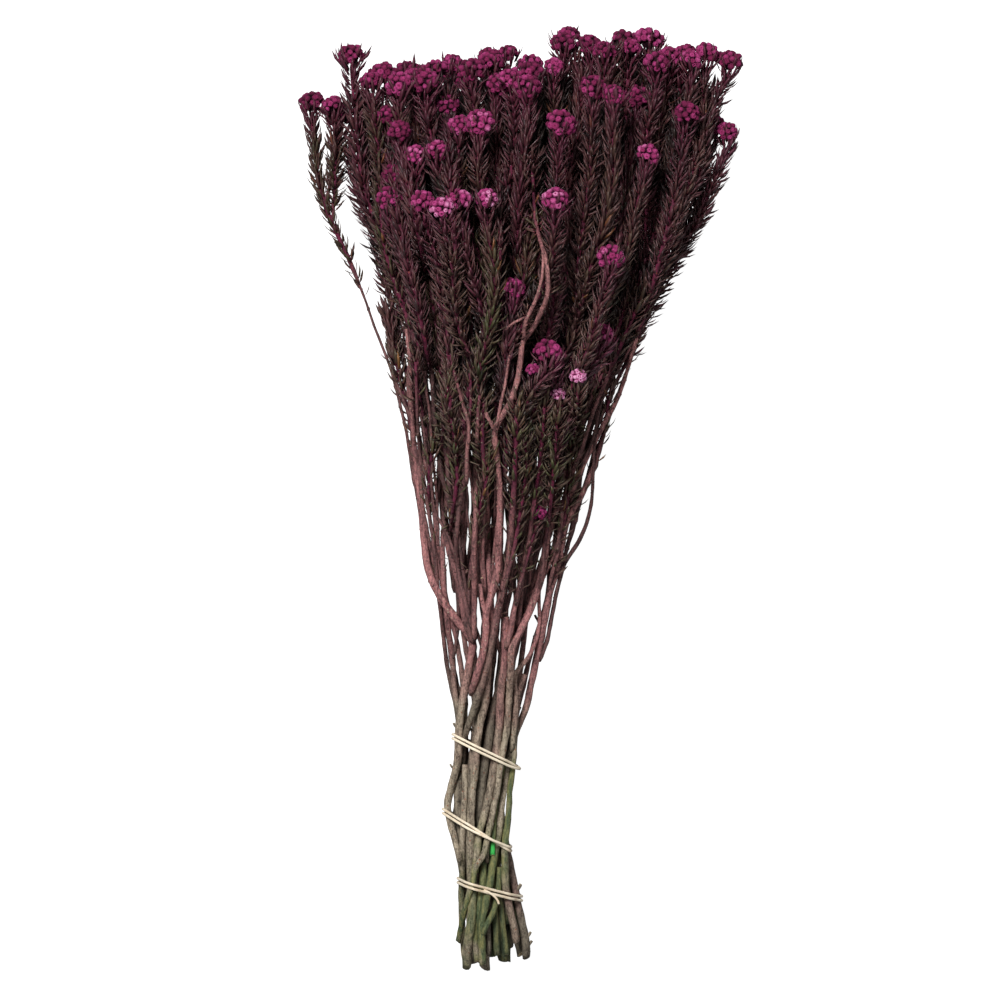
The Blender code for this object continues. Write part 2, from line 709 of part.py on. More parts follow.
def build_bunch():
    for obj in list(bpy.data.objects):
        bpy.data.objects.remove(obj)
    materials = {name: new_material(name) for name in COLOURS}
    bunch = bpy.data.objects.new("bunch", None)
    bpy.context.scene.collection.objects.link(bunch)
    strands = strand_list()
    levels = np.arange(-264.0, 268.0, LEVEL_STEP)
    paths = settled_paths(strands, levels)
    tubes, balls = strand_pieces(strands, levels, paths)
    for _ in range(SETTLING_ROUNDS):
        settle(tubes, balls, squeezing=False)
        draw_links(strands, tubes)
        gather_balls(balls)
    for _ in range(THINNING_ROUNDS):
        settle(tubes, balls, squeezing=True)
    made = []
    for number in range(len(SPRIGS)):
        for kind, word, material, sides in ((WOOD, "stem", "bark", WOOD_SIDES),
                                            (LEAF, "leafy_shoots", "leaf", SHOOT_SIDES)):
            meshes = [tube_mesh(t, sides) for t in tubes if t.body == 1000 * kind + number]
            made.append(joined_solid(f"{word}_{number + 1:02d}", meshes, materials[material], bunch))
    for body in sorted({ball.body for ball in balls}):
        number, group = divmod(body - 10000, 100)
        name = f"flower_heads_{number + 1:02d}_{group}"
        meshes = [ball_mesh(ball) for ball in balls if ball.body == body]
        made.append(joined_solid(name, meshes, materials["flower"], bunch))
    trunks = [t for t in tubes if t.kind == WOOD and strands[t.owner]["parent"] is None]
    for band in BANDS:
        obj = bpy.data.objects.new(band["name"], band_mesh(band_path(band, trunks)))
        bpy.context.scene.collection.objects.link(obj)
        made.append(finished(obj, materials["rubber"], bunch))
    corners = np.array([v.co for obj in made for v in obj.data.vertices])
    low, high = corners.min(axis=0), corners.max(axis=0)
    bunch.location = (-(low[0] + high[0]) / 2, -(low[1] + high[1]) / 2, -low[2])


build_bunch()
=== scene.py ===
import json
import math
import bpy
import numpy as np
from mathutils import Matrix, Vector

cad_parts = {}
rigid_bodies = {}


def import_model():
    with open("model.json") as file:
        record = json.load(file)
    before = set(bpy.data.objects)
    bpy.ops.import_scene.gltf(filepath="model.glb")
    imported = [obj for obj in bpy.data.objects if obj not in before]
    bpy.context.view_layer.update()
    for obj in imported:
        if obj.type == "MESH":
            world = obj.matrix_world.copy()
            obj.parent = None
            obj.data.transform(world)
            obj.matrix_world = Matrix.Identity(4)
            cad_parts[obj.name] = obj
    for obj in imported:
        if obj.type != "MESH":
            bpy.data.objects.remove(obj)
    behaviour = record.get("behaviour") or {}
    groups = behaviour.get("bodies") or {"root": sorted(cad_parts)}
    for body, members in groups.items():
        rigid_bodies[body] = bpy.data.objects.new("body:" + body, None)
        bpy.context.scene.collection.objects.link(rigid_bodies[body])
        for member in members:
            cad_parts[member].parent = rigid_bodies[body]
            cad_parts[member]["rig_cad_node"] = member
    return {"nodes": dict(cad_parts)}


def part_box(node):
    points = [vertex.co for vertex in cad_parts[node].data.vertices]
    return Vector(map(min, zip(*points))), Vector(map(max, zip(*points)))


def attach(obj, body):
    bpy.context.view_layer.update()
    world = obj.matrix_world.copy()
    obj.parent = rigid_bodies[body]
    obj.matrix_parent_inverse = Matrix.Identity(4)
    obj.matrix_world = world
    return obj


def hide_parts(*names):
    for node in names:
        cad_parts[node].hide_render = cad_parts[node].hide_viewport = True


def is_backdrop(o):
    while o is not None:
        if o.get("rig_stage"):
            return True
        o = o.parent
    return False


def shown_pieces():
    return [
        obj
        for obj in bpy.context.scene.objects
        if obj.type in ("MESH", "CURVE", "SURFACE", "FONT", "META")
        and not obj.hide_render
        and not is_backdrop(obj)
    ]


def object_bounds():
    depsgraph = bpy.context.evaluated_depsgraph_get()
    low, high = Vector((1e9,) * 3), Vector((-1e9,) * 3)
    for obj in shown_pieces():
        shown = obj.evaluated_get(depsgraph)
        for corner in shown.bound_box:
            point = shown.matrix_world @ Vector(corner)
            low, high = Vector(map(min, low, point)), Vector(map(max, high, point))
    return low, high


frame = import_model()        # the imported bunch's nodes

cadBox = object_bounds()
print("frame loaded:", len(frame["nodes"]), "nodes")

# Driving dimensions, in millimetres.
headRadius = 7.6
gap = 0.3                # between two pieces that touch
levelStep = 8.0         # heights at which the strands are kept apart
ringStep = 33.0         # distance between the rings of a tube
touching = 1.74          # distance between two heads of a group, in head radii
headStagger = 4.5       # how much higher one head of a group may sit than its neighbour
bandRadius = 1.0
bandClearance = 1.1     # of a band's rounded corners, so that its straight runs clear the stems
bandPoints = 20         # points in each of a band's two turns

# The outer form of the bunch: y, centre x, half width, half depth, height of its underside.
bunchForm = (
    (-264, -14, 21, 14, 0.0),
    (-238, -16, 18, 14, 2.0),
    (-216, -18, 16.5, 14, 3.6),
    (-182, -25, 16.5, 14.5, 5.5),
    (-140, -21, 16.5, 15, 7.0),
    (-110, -18, 22, 18, 8.0),
    (-78, -16, 30, 23, 8.5),
    (-33, -14, 40, 29, 8.0),
    (11, -11, 49, 35, 7.0),
    (55, -9, 62, 43, 5.0),
    (93, -2, 76, 50, 3.0),
    (132, 1, 91, 57, 1.0),
    (165, 0, 102, 61, 0.0),
    (209, 1, 113, 62, 0.0),
    (264, 1, 118, 61, 2.0),
)

# Each sprig: where it is cut off, its radius there, and its woody branches. A branch is the height
# where it leaves the first one, the height where its leaves begin, a group and (x, y, z) of its tips.
# Branches of the same group carry heads that touch each other.
sprigs = (
    (-252, 2.8, (
        (None, 118, 1, (-112, 218, 56), (-101, 216, 62), (-96, 206, 54)),
    )),
    (-258, 3.0, (
        (None, 92, 1, (-96, 243, 68)),
        (-30, 84, 2, (-82, 228, 80), (-76, 236, 70)),
        (10, 62, 3, (-74, 163, 98)),
    )),
    (-246, 3.1, (
        (None, 52, 1, (-61, 230, 74), (-66, 238, 62), (-68, 219, 84)),
        (-70, 44, 1, (-47, 235, 70), (-53, 227, 84), (-36, 240, 60)),
    )),
    (-255, 2.8, (
        (None, 30, 1, (-18, 243, 60), (-6, 245, 50)),
        (-52, 38, 1, (-18, 232, 74), (-28, 223, 80)),
    )),
    (-240, 3.0, (
        (None, 22, 1, (5, 233, 82), (16, 236, 78), (4, 242, 66)),
        (-64, 34, 1, (-6, 224, 88), (4, 220, 98)),
    )),
    (-257, 2.9, (
        (None, 48, 1, (25, 254, 56), (22, 247, 68)),
        (-44, 56, 1, (35, 249, 60), (45, 242, 68)),
    )),
    (-250, 2.9, (
        (None, 60, 1, (59, 247, 62), (57, 254, 50)),
        (-20, 72, 1, (72, 253, 54)),
    )),
    (-243, 3.2, (
        (None, 72, 1, (82, 242, 74), (73, 236, 84), (92, 240, 78)),
        (-60, 84, 1, (104, 248, 60), (97, 243, 68), (110, 236, 66)),
    )),
    (-254, 2.7, (
        (None, 90, 1, (107, 206, 56), (107, 193, 62)),
        (-8, 98, 1, (94, 208, 62)),
    )),
    (-236, 3.1, (
        (None, 30, 1, (38, 223, 104), (49, 217, 107)),
        (-75, 40, 2, (21, 203, 112)),
        (-30, 66, 3, (71, 187, 100)),
    )),
    (-260, 3.0, (
        (None, 18, 1, (-20, 162, 118)),
        (-48, 26, 2, (-36, 161, 116), (-41, 149, 120)),
        (-86, 34, 3, (-55, 161, 108)),
    )),
    (-248, 2.9, (
        (None, 24, 1, (-24, 204, 102), (-33, 203, 97)),
        (-58, 36, 2, (-49, 189, 104), (-60, 187, 98)),
    )),
    (-256, 3.1, (
        (None, -6, 1, (18, 161, 118)),
        (-92, 4, 2, (-10, 114, 104)),
        (-36, 20, 3, (49, 131, 106)),
        (-66, -18, 4, (18, 79, 92), (30, 70, 90), (20, 60, 88)),
        (-50, 8, 5, (42, 90, 88)),
    )),
    (-251, 3.0, (
        (None, 34, 1, (-58, 196, 12), (-70, 190, 20), (-47, 203, 9)),
        (-54, 44, 1, (-36, 196, 8), (-26, 205, 12), (-44, 186, 16)),
    )),
    (-245, 3.0, (
        (None, 40, 1, (52, 200, 8), (64, 206, 14), (44, 190, 14)),
        (-66, 28, 2, (8, 196, 8), (-3, 190, 16), (17, 187, 14)),
    )),
)

bands = (
    {"name": "rubber_band_upper", "y": -140, "tilt": 26, "crossing": 200},
    {"name": "rubber_band_middle", "y": -184, "tilt": 29, "crossing": 250},
    {"name": "rubber_band_lower", "y": -217, "tilt": 16, "crossing": 80},
)
tieZone = (-262, -128)

woodKind, leafKind, headKind = 0, 1, 2
forkReach = 62.0        # height over which a branch parts from its parent
cutSpread = 0.82        # how far out the stems start within the tie, as a share of the bunch
linkHeight = 22.0       # the crown's branches touch this far above their lowest leaves
forkZone = -110.0       # the stems keep most of their thickness up to here
trunkTaper = 0.86       # a stem's thickness at the fork zone, as a share of that at its cut end
branchShare = 0.78      # a branch's thickness as a share of its parent's
twigRadius = 1.3        # of the wood where the leaves begin
shootRadius = 6.0       # of a shoot with its leaves
lowestLeaves = 2.3      # radius of a shoot where its leaves begin
leafRunIn = 34.0       # the leaves reach their full length over this height
neckRadius = 3.6        # of a shoot just below its flower head
neckLength = 26.0
smallestRadius = 0.9
linkOverlap = 0.76      # distance between two linked shoots, as a share of their radii
flattening = 0.86        # a piece on the surface is this much of its radius above it
homing = 0.02            # how strongly a strand that was pushed aside returns to its place
tiePull = 0.012         # how strongly the bands draw the stems together
clearance = 1.5 * gap    # kept between two pieces while they are moved apart
samePiece = 0.62        # parts of one piece may be this much closer together
footBend = (-262.0, -222.0)
firstFork, nextFork = 0.22, 0.13    # shares of a branch's leafy length below its side shoots
settlingRounds = 30     # in which the rings and the heads move apart
thinningRounds = 4      # in which what still touches is made thinner


def formAt(y):
    # Centre x, half width, half depth and underside height of the bunch at height y.
    table = np.array(bunchForm, float)
    y = np.clip(y, table[0, 0], table[-1, 0])
    i = int(np.clip(np.searchsorted(table[:, 0], y) - 1, 0, len(table) - 2))
    span = table[i + 1, 0] - table[i, 0]
    t = (y - table[i, 0]) / span
    slopes = np.gradient(table[:, 1:], table[:, 0], axis=0)
    h = (2 * t**3 - 3 * t**2 + 1, t**3 - 2 * t**2 + t, 3 * t**2 - 2 * t**3, t**3 - t**2)
    return (h[0] * table[i, 1:] + h[1] * span * slopes[i]
            + h[2] * table[i + 1, 1:] + h[3] * span * slopes[i + 1])


def placeInForm(share, y):
    # (x, z) of a point that sits at this share of the bunch's width and depth.
    centre, width, depth, lift = formAt(y)
    return np.array((centre + share[0] * width, lift + depth + share[1] * depth))


def shareOfForm(x, y, z):
    centre, width, depth, lift = formAt(y)
    return np.array(((x - centre) / width, (z - lift - depth) / depth))


def eased(t):
    t = np.clip(t, 0, 1)
    return t * (2 - t)


def beside(point, other):
    # The point drawn to a head beside the other one: touching it, and at nearly its height.
    away = point - other
    away[1] = np.clip(away[1], -headStagger, headStagger)
    flat = math.sqrt((touching * headRadius) ** 2 - away[1] ** 2)
    away[[0, 2]] *= flat / max(np.linalg.norm(away[[0, 2]]), 1e-6)
    return other + away


def gatheredTips(branches):
    # The sprig's tips, with the heads of each group drawn together until they touch.
    done = {}
    tips = []
    for _, _, group, *ends in branches:
        own = []
        for tip in ends:
            point = np.array(tip, float)
            others = done.setdefault(group, [])
            if others:
                nearest = min(others, key=lambda other: np.linalg.norm(point - other))
                point = beside(point, nearest)
            others.append(point)
            own.append(point)
        tips.append(own)
    return tips


def strandList():
    # One strand for each shoot tip, from its fork, or its cut end, to its flower head.
    strands = []
    for number, (cut, radius, branches) in enumerate(sprigs):
        tips = gatheredTips(branches)
        shares = [shareOfForm(*tip[0]) for tip in tips]
        tieShare = np.mean(shares, axis=0)
        tieShare /= max(1.0, np.linalg.norm(tieShare))
        trunk = len(strands)
        for (fork, leaf, group, *_), points in zip(branches, tips):
            main = len(strands)
            for k, point in enumerate(points):
                if main == trunk and k == 0:
                    start, parent = cut, None
                elif k == 0:
                    start, parent = fork, trunk
                else:
                    start, parent = leaf + (point[1] - leaf) * (firstFork + nextFork * k), main
                strands.append({
                    "sprig": number, "group": group, "parent": parent, "start": start,
                    "leaf": leaf if k == 0 else start, "tip": point,
                    "share": shareOfForm(*point), "tieShare": tieShare * cutSpread,
                    "footRadius": radius, "main": k == 0,
                    "trunk": None if len(strands) == trunk else strands[trunk],
                })
    return strands


def woodRadius(strand, y):
    # Radius of bare wood: the trunk stays thick up to the fork zone, a branch is thinner than it.
    if strand["parent"] is None:
        radii = (strand["footRadius"], trunkTaper * strand["footRadius"], twigRadius)
        return float(np.interp(y, (tieZone[0], forkZone, strand["leaf"]), radii))
    first = branchShare * woodRadius(strand["trunk"], strand["start"])
    return float(np.interp(y, (strand["start"], strand["leaf"]), (first, twigRadius)))


def wantedRadius(strand, y):
    # Radius and kind of the strand at height y: wood, then leaves, then the ball of the head.
    tip = strand["tip"][1]
    if y > tip - headRadius:
        return math.sqrt(max(0.0, headRadius**2 - (y - tip) ** 2)), headKind
    if y < strand["leaf"]:
        return woodRadius(strand, y), woodKind
    lowest = lowestLeaves if strand["main"] else neckRadius
    lowPart = lowest + (shootRadius - lowest) * eased((y - strand["leaf"]) / leafRunIn)
    below = np.clip((tip - headRadius - y) / neckLength, 0, 1)
    return min(lowPart, neckRadius + (shootRadius - neckRadius) * below), leafKind


def bodyOf(strand, kind):
    # Strands with the same body grow into one piece and may overlap.
    if kind == headKind:
        return 10000 + 100 * strand["sprig"] + strand["group"]
    return 1000 * kind + strand["sprig"]


def firstPaths(strands, levels):
    # Each strand's (x, z) at every level, before the strands are moved apart.
    paths = np.zeros((len(strands), len(levels), 2))
    for i, strand in enumerate(strands):
        for k, y in enumerate(levels):
            own = placeInForm(strand["share"], y)
            if strand["parent"] is None:
                rise = np.clip((y - tieZone[1]) / 150.0, 0, 1)
                rise = rise * rise * (3 - 2 * rise)
                share = strand["tieShare"] * (1 - rise) + strand["share"] * rise
                paths[i, k] = placeInForm(share, y)
            else:
                parent = paths[strand["parent"], k]
                paths[i, k] = parent + (own - parent) * eased((y - strand["start"]) / forkReach)
    return paths


def partStrands(strands, levels, rounds=260, lastRounds=40):
    # Moves the strands sideways until none is inside another, as packed stems and shoots lie.
    first = firstPaths(strands, levels)
    moved = np.zeros_like(first)
    count = len(strands)
    radius = np.zeros((count, len(levels)))
    body = np.zeros((count, len(levels)), int)
    alive = np.zeros((count, len(levels)), bool)
    for i, strand in enumerate(strands):
        for k, y in enumerate(levels):
            radius[i, k], kind = wantedRadius(strand, y)
            body[i, k] = bodyOf(strand, kind)
            alive[i, k] = strand["start"] < y < strand["tip"][1] + headRadius
    for turn in range(rounds):
        places = first + moved
        for k, y in enumerate(levels):
            here = np.where(alive[:, k])[0]
            at, size = places[here, k], radius[here, k]
            away = at[:, None] - at[None]
            distance = np.maximum(np.linalg.norm(away, axis=2), 1e-6)
            need = size[:, None] + size[None] + clearance
            sameBody = body[here, k][:, None] == body[here, k][None]
            need = np.where(sameBody, samePiece * need, need)
            short = np.clip(need - distance, 0, neckRadius)
            np.fill_diagonal(short, 0)
            push = (away / distance[..., None] * short[..., None]).sum(axis=1) * 0.35
            moved[here, k] += push
            if turn < rounds - lastRounds:
                moved[here, k] *= 1 - homing
            if y < tieZone[1] and turn < rounds - lastRounds:
                middle = placeInForm((0, 0), y)
                moved[here, k] -= (first[here, k] + moved[here, k] - middle) * tiePull
            low = np.maximum(flattening * size, 0.1)
            moved[here, k, 1] = np.maximum(moved[here, k, 1], low - first[here, k, 1])
        for i, strand in enumerate(strands):
            own = np.where(alive[i])[0]
            line = moved[i, own]
            if strand["parent"] is not None:
                line[0] = 0.5 * (line[0] + moved[strand["parent"], own[0]])
            softer = line.copy()
            softer[1:-1] = 0.25 * line[:-2] + 0.5 * line[1:-1] + 0.25 * line[2:]
            softer[0] = 0.6 * line[0] + 0.4 * line[1]
            softer[-1] = 0.6 * line[-1] + 0.4 * line[-2]
            moved[i, own] = softer
        for i, strand in enumerate(strands):
            if strand["main"] and strand["parent"] is not None:
                linkBranch(strands, i, levels, first, moved, radius)
    return first + moved


def linkBranch(strands, i, levels, first, moved, radius):
    # Draws a leafy branch to the nearest one of its sprig, so that their leaves touch.
    strand = strands[i]
    best = None
    for j, other in enumerate(strands):
        if other["sprig"] != strand["sprig"] or not other["main"] or j >= i:
            continue
        height = max(strand["leaf"], other["leaf"]) + linkHeight
        k = int(np.argmin(abs(levels - height)))
        if height > min(strand["tip"][1], other["tip"][1]) - 2 * headRadius:
            continue
        away = (first + moved)[i, k] - (first + moved)[j, k]
        distance = np.linalg.norm(away)
        if best is None or distance < best[0]:
            best = (distance, j, k, away)
    distance, j, k, away = best
    strand["link"], strand["linkedTo"] = levels[k], j
    reach = linkOverlap * (radius[i, k] + radius[j, k])
    if distance > reach:
        pull = away / distance * (distance - reach) * 0.2
        for near in (-2, -1, 0, 1, 2):
            moved[i, k + near] -= pull * (1 - abs(near) / 3)
            moved[j, k + near] += pull * (1 - abs(near) / 3)


def settledPaths(strands, levels):
    # The strands at rest: the foot of the bunch is bent down until its lowest stem touches.
    paths = partStrands(strands, levels)
    trunks = [i for i, strand in enumerate(strands) if strand["parent"] is None]
    height = min(np.interp(strands[i]["start"], levels, paths[i, :, 1]) - strands[i]["footRadius"]
                 for i in trunks)
    bend = np.clip((footBend[1] - levels) / (footBend[1] - footBend[0]), 0, 1)
    for i in trunks:
        paths[i, :, 1] -= height * bend**2 * (3 - 2 * bend)
    return paths


class Tube:
    # A run of round rings, each in a plane across Y. It is one strand's wood or one strand's leaves.
    #
    # The wood and the leaves of a strand share one table of centres, so they move together.

    def __init__(self, owner, body, kind, heights, centres, radii):
        self.owner, self.body, self.kind = owner, body, kind
        self.heights, self.centres, self.radii = np.array(heights), centres, np.array(radii)

    def sharesAt(self, y):
        # The two rings around height y, and how much each one counts there.
        above = int(np.clip(np.searchsorted(self.heights, y), 1, len(self.heights) - 1))
        span = self.heights[above] - self.heights[above - 1]
        upper = np.clip((y - self.heights[above - 1]) / span, 0, 1)
        return (above - 1, 1 - upper), (above, upper)

    def section(self, y):
        # Centre x, centre z and radius at height y, or None past the tube's ends.
        if not self.heights[0] <= y <= self.heights[-1]:
            return None
        (low, lower), (high, upper) = self.sharesAt(y)
        x, z = lower * self.centres[low] + upper * self.centres[high]
        return x, z, lower * self.radii[low] + upper * self.radii[high]

    def shift(self, y, step):
        shares = self.sharesAt(y)
        total = sum(share**2 for _, share in shares)
        for ring, share in shares:
            self.centres[ring] += step * share / total
            self.centres[ring, 1] = max(self.centres[ring, 1], flattening * self.radii[ring])

    def squeeze(self, y, amount):
        for ring, share in self.sharesAt(y):
            if share > 0.05:
                self.radii[ring] = max(smallestRadius, self.radii[ring] - amount)


class Ball:
    # One flower head at the end of its strand.

    def __init__(self, owner, body, centre, lastRing):
        self.owner, self.body, self.kind = owner, body, headKind
        self.centre, self.lastRing = centre, lastRing

    def section(self, y):
        off = y - self.centre[1]
        if abs(off) >= headRadius:
            return None
        return self.centre[0], self.centre[2], math.sqrt(headRadius**2 - off**2)

    def shift(self, y, step):
        self.centre[[0, 2]] += step
        self.centre[2] = max(self.centre[2], headRadius)
        self.lastRing[:] = self.centre[[0, 2]]

    def squeeze(self, y, amount):
        pass


def ringHeights(low, high, marks=()):
    count = max(1, round((high - low) / ringStep))
    heights = list(np.linspace(low, high, count + 1))
    for mark in sorted(marks):
        if min(abs(mark - height) for height in heights) > 7 and low < mark < high:
            heights.append(mark)
    return sorted(heights)


def linkHeights(strands, i):
    # The heights where this strand's leaves are drawn to another branch's leaves.
    own = [strands[i]["link"]] if "link" in strands[i] else []
    return own + [s["link"] for s in strands if s.get("linkedTo") == i]


def strandPieces(strands, levels, paths):
    # The wooden and the leafy tubes of every strand, and the balls of the flower heads.
    tubes, balls = [], []
    for i, strand in enumerate(strands):
        tip, lowLeaf, start = strand["tip"][1], strand["leaf"], strand["start"]
        leafTop = tip - headRadius - gap
        wood = ringHeights(start, lowLeaf) if lowLeaf > start else []
        marks = {lowLeaf + leafRunIn / 2, leafTop - neckLength / 2, *linkHeights(strands, i)}
        leafy = ringHeights(lowLeaf, leafTop, marks)
        heights = wood[:-1] + leafy
        centres = np.array([[np.interp(y, levels, paths[i, :, axis]) for axis in (0, 1)] for y in heights])
        if strand["parent"] is not None:
            centres[0] = [np.interp(start, levels, paths[strand["parent"], :, axis]) for axis in (0, 1)]
        if wood:
            wood[-1] -= gap / 2
            radii = [woodRadius(strand, y) for y in wood]
            tubes.append(Tube(i, bodyOf(strand, woodKind), woodKind, wood, centres[:len(wood)], radii))
        leafy[0] += gap / 2
        radii = [wantedRadius(strand, y)[0] for y in leafy]
        tubes.append(Tube(i, bodyOf(strand, leafKind), leafKind, leafy, centres[-len(leafy):], radii))
        centre = np.array((centres[-1, 0], tip, centres[-1, 1]))
        balls.append(Ball(i, bodyOf(strand, headKind), centre, centres[-1]))
    return tubes, balls


def gatherBalls(balls):
    # Draws the heads of a group together again after the strands have been parted.
    placed = {}
    for ball in balls:
        others = placed.setdefault(ball.body, [])
        if others:
            nearest = min(others, key=lambda other: np.linalg.norm(ball.centre - other.centre))
            step = beside(ball.centre, nearest.centre) - ball.centre
            ball.shift(0, step[[0, 2]])
        others.append(ball)


def settle(tubes, balls, squeezing, heights=np.arange(-262.0, 268.0, 3.0)):
    # Pushes overlapping pieces apart, or makes them thinner where they give way to each other.
    for y in heights:
        here = [(piece, piece.section(y)) for piece in tubes + balls]
        here = [(piece, section) for piece, section in here if section is not None]
        body = np.array([piece.body for piece, _ in here])
        x, z, radius = np.array([section for _, section in here]).reshape(-1, 3).T
        away = np.stack((x[:, None] - x, z[:, None] - z), axis=-1)
        distance = np.maximum(np.linalg.norm(away, axis=2), 1e-6)
        over = radius[:, None] + radius + clearance - distance
        over[body[:, None] == body] = 0
        for i, j in zip(*np.where(np.triu(over, 1) > 0)):
            first, second = here[i][0], here[j][0]
            if squeezing:
                soft = [one for one in (first, second) if one.kind == leafKind]
                soft = soft or [one for one in (first, second) if one.kind == woodKind]
                for one in soft:
                    one.squeeze(y, over[i, j] / len(soft))
            else:
                step = away[i, j] / distance[i, j] * over[i, j] * 0.4
                first.shift(y, step)
                second.shift(y, -step)


def ofKind(tubes, kind):
    return {tube.owner: tube for tube in tubes if tube.kind == kind}


def drawLinks(strands, tubes):
    # Keeps the leafy branches of a sprig touching where they were drawn together.
    leafy = ofKind(tubes, leafKind)
    for i, strand in enumerate(strands):
        if "link" not in strand:
            continue
        y = strand["link"]
        one, other = leafy[i], leafy[strand["linkedTo"]]
        (x, z, radius), (otherX, otherZ, otherRadius) = one.section(y), other.section(y)
        away = np.array((x - otherX, z - otherZ))
        distance = np.linalg.norm(away)
        excess = distance - linkOverlap * (radius + otherRadius)
        if excess > 0:
            one.shift(y, -away / distance * excess / 2)
            other.shift(y, away / distance * excess / 2)


def hullOf(points):
    # The convex hull of points in a plane, anticlockwise.
    points = sorted(map(tuple, points))

    def half(run):
        out = []
        for p in run:
            while len(out) > 1 and ((out[-1][0] - out[-2][0]) * (p[1] - out[-2][1])
                                    - (out[-1][1] - out[-2][1]) * (p[0] - out[-2][0])) <= 0:
                out.pop()
            out.append(p)
        return out[:-1]

    return np.array(half(points) + half(points[::-1]))


def runAlong(points):
    # The length of a line up to each of its points.
    return np.concatenate(([0], np.cumsum(np.linalg.norm(np.diff(points, axis=0), axis=1))))


def bandPath(band, stems):
    # The two turns of a band around the stems, with one place where a turn crosses the other.
    slope = math.tan(math.radians(band["tilt"]))
    middle = formAt(band["y"])[0]
    roundStems = []
    for stem in stems:
        y = band["y"]
        for _ in range(4):
            x, z, radius = stem.section(y)
            y = band["y"] - slope * (x - middle)
        reach = radius + bandRadius + bandClearance
        for k in range(24):
            turn = 2 * math.pi * k / 24
            roundStems.append((x + reach * math.cos(turn) / math.cos(math.radians(band["tilt"])) ** 0.5,
                                z + reach * math.sin(turn)))
    hull = hullOf(roundStems)
    ring = np.vstack((hull, hull[:1]))
    run = runAlong(ring)
    centre = hull.mean(axis=0)
    points = []
    for k in range(2 * bandPoints):
        turn = 2.0 * k / (2 * bandPoints)
        share = (turn + band["crossing"] / 360.0 + 0.5) % 1.0
        x, z = (np.interp(share * run[-1], run, ring[:, axis]) for axis in (0, 1))
        sway = np.clip(3 * math.cos(math.pi * turn), -1, 1)
        over = math.sqrt(1 - sway**2) if turn < 1 else 0.0
        out = np.array((x, z)) - centre
        out /= np.linalg.norm(out)
        x, z = np.array((x, z)) + out * over * 1.7 * bandRadius
        points.append((x, band["y"] - slope * (x - middle) + sway * 1.15 * bandRadius, z))
    return np.array(points)


# The strands of the bunch, settled as they lie.
strands = strandList()
levels = np.arange(-264.0, 268.0, levelStep)
tubes, balls = strandPieces(strands, levels, settledPaths(strands, levels))
for _ in range(settlingRounds):
    settle(tubes, balls, False)
    drawLinks(strands, tubes)
    gatherBalls(balls)
for _ in range(thinningRounds):
    settle(tubes, balls, True)
woodTubes, leafTubes = (ofKind(tubes, kind) for kind in (woodKind, leafKind))
headBalls = {ball.owner: ball for ball in balls}

# The layout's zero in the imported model, found from a head that is one ball in both.
singleHead = next(ball for ball in balls if strands[ball.owner]["sprig"] == 1)
low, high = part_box("flower_heads_02_1")
layoutZero = singleHead.centre - 500.0 * (np.array(low) + np.array(high))
print("layout settled:", len(strands), "shoots")


def toFrame(points):
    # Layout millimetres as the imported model's metres.
    return (np.asarray(points, float) - layoutZero) / 1000.0


def frameY(y):
    return (y - layoutZero[1]) / 1000.0


def between(low, high, value):
    # A smooth step from 0 at low to 1 at high.
    t = np.clip((np.asarray(value, float) - low) / (high - low), 0, 1)
    return t * t * (3 - 2 * t)


def srgb(red, green, blue):
    # A display colour, 0 to 255, as the linear colour that a shader takes.
    shares = [c / 255 for c in (red, green, blue)]
    return (*(c / 12.92 if c <= 0.04045 else ((c + 0.055) / 1.055) ** 2.4 for c in shares), 1.0)


def put(tree, kind, plugs=None, **settings):
    # Adds a node. Each plug is an input's name or number, with its value or another node's output.
    node = tree.nodes.new(kind)
    for name, value in settings.items():
        setattr(node, name, value)
    for socket, value in (plugs or {}).items():
        if isinstance(value, bpy.types.NodeSocket):
            tree.links.new(value, node.inputs[socket])
        else:
            node.inputs[socket].default_value = value
    return node


def treeOf(*values):
    # The node tree that these values are in.
    return next(value.id_data for value in values if isinstance(value, bpy.types.NodeSocket))


def outOf(tree, kind, plugs=None, **settings):
    # A new node's first output.
    return put(tree, kind, plugs, **settings).outputs[0]


def calc(operation, *values):
    return outOf(treeOf(*values), "ShaderNodeMath", dict(enumerate(values)), operation=operation)


def vector(tree, *values):
    return outOf(tree, "ShaderNodeCombineXYZ", dict(enumerate(values)))


def add(first, second):
    return calc("ADD", first, second)


def times(first, second):
    return calc("MULTIPLY", first, second)


def less(first, second):
    return calc("SUBTRACT", first, second)


def calcVector(operation, first, second, output=0):
    plugs = {0: first, "Scale" if operation == "SCALE" else 1: second}
    return put(treeOf(first), "ShaderNodeVectorMath", plugs, operation=operation).outputs[output]


def rescale(value, low, high, newLow=0.0, newHigh=1.0):
    plugs = dict(enumerate((value, low, high, newLow, newHigh)))
    return outOf(treeOf(value), "ShaderNodeMapRange", plugs, interpolation_type="SMOOTHSTEP")


def mixColour(share, first, second, kind="MIX"):
    plugs = {0: share, 6: first, 7: second}
    tree = treeOf(*plugs.values())
    return put(tree, "ShaderNodeMix", plugs, data_type="RGBA", blend_type=kind).outputs[2]


def darkened(colour, by):
    return mixColour(1.0, colour, by, "MULTIPLY")


def ramp(value, *stops):
    node = put(treeOf(value), "ShaderNodeValToRGB", {0: value})
    elements = node.color_ramp.elements
    elements.remove(elements[-1])
    elements[0].position, elements[0].color = stops[0]
    for position, colour in stops[1:]:
        elements.new(position).color = colour
    return node.outputs[0]


def spot(tree):
    # Where a point of the surface is, in the piece's own metres.
    return put(tree, "ShaderNodeTexCoord").outputs["Object"]


def reading(tree, name):
    # A point attribute of the mesh, as a value.
    return put(tree, "ShaderNodeAttribute", attribute_name=name).outputs[2]


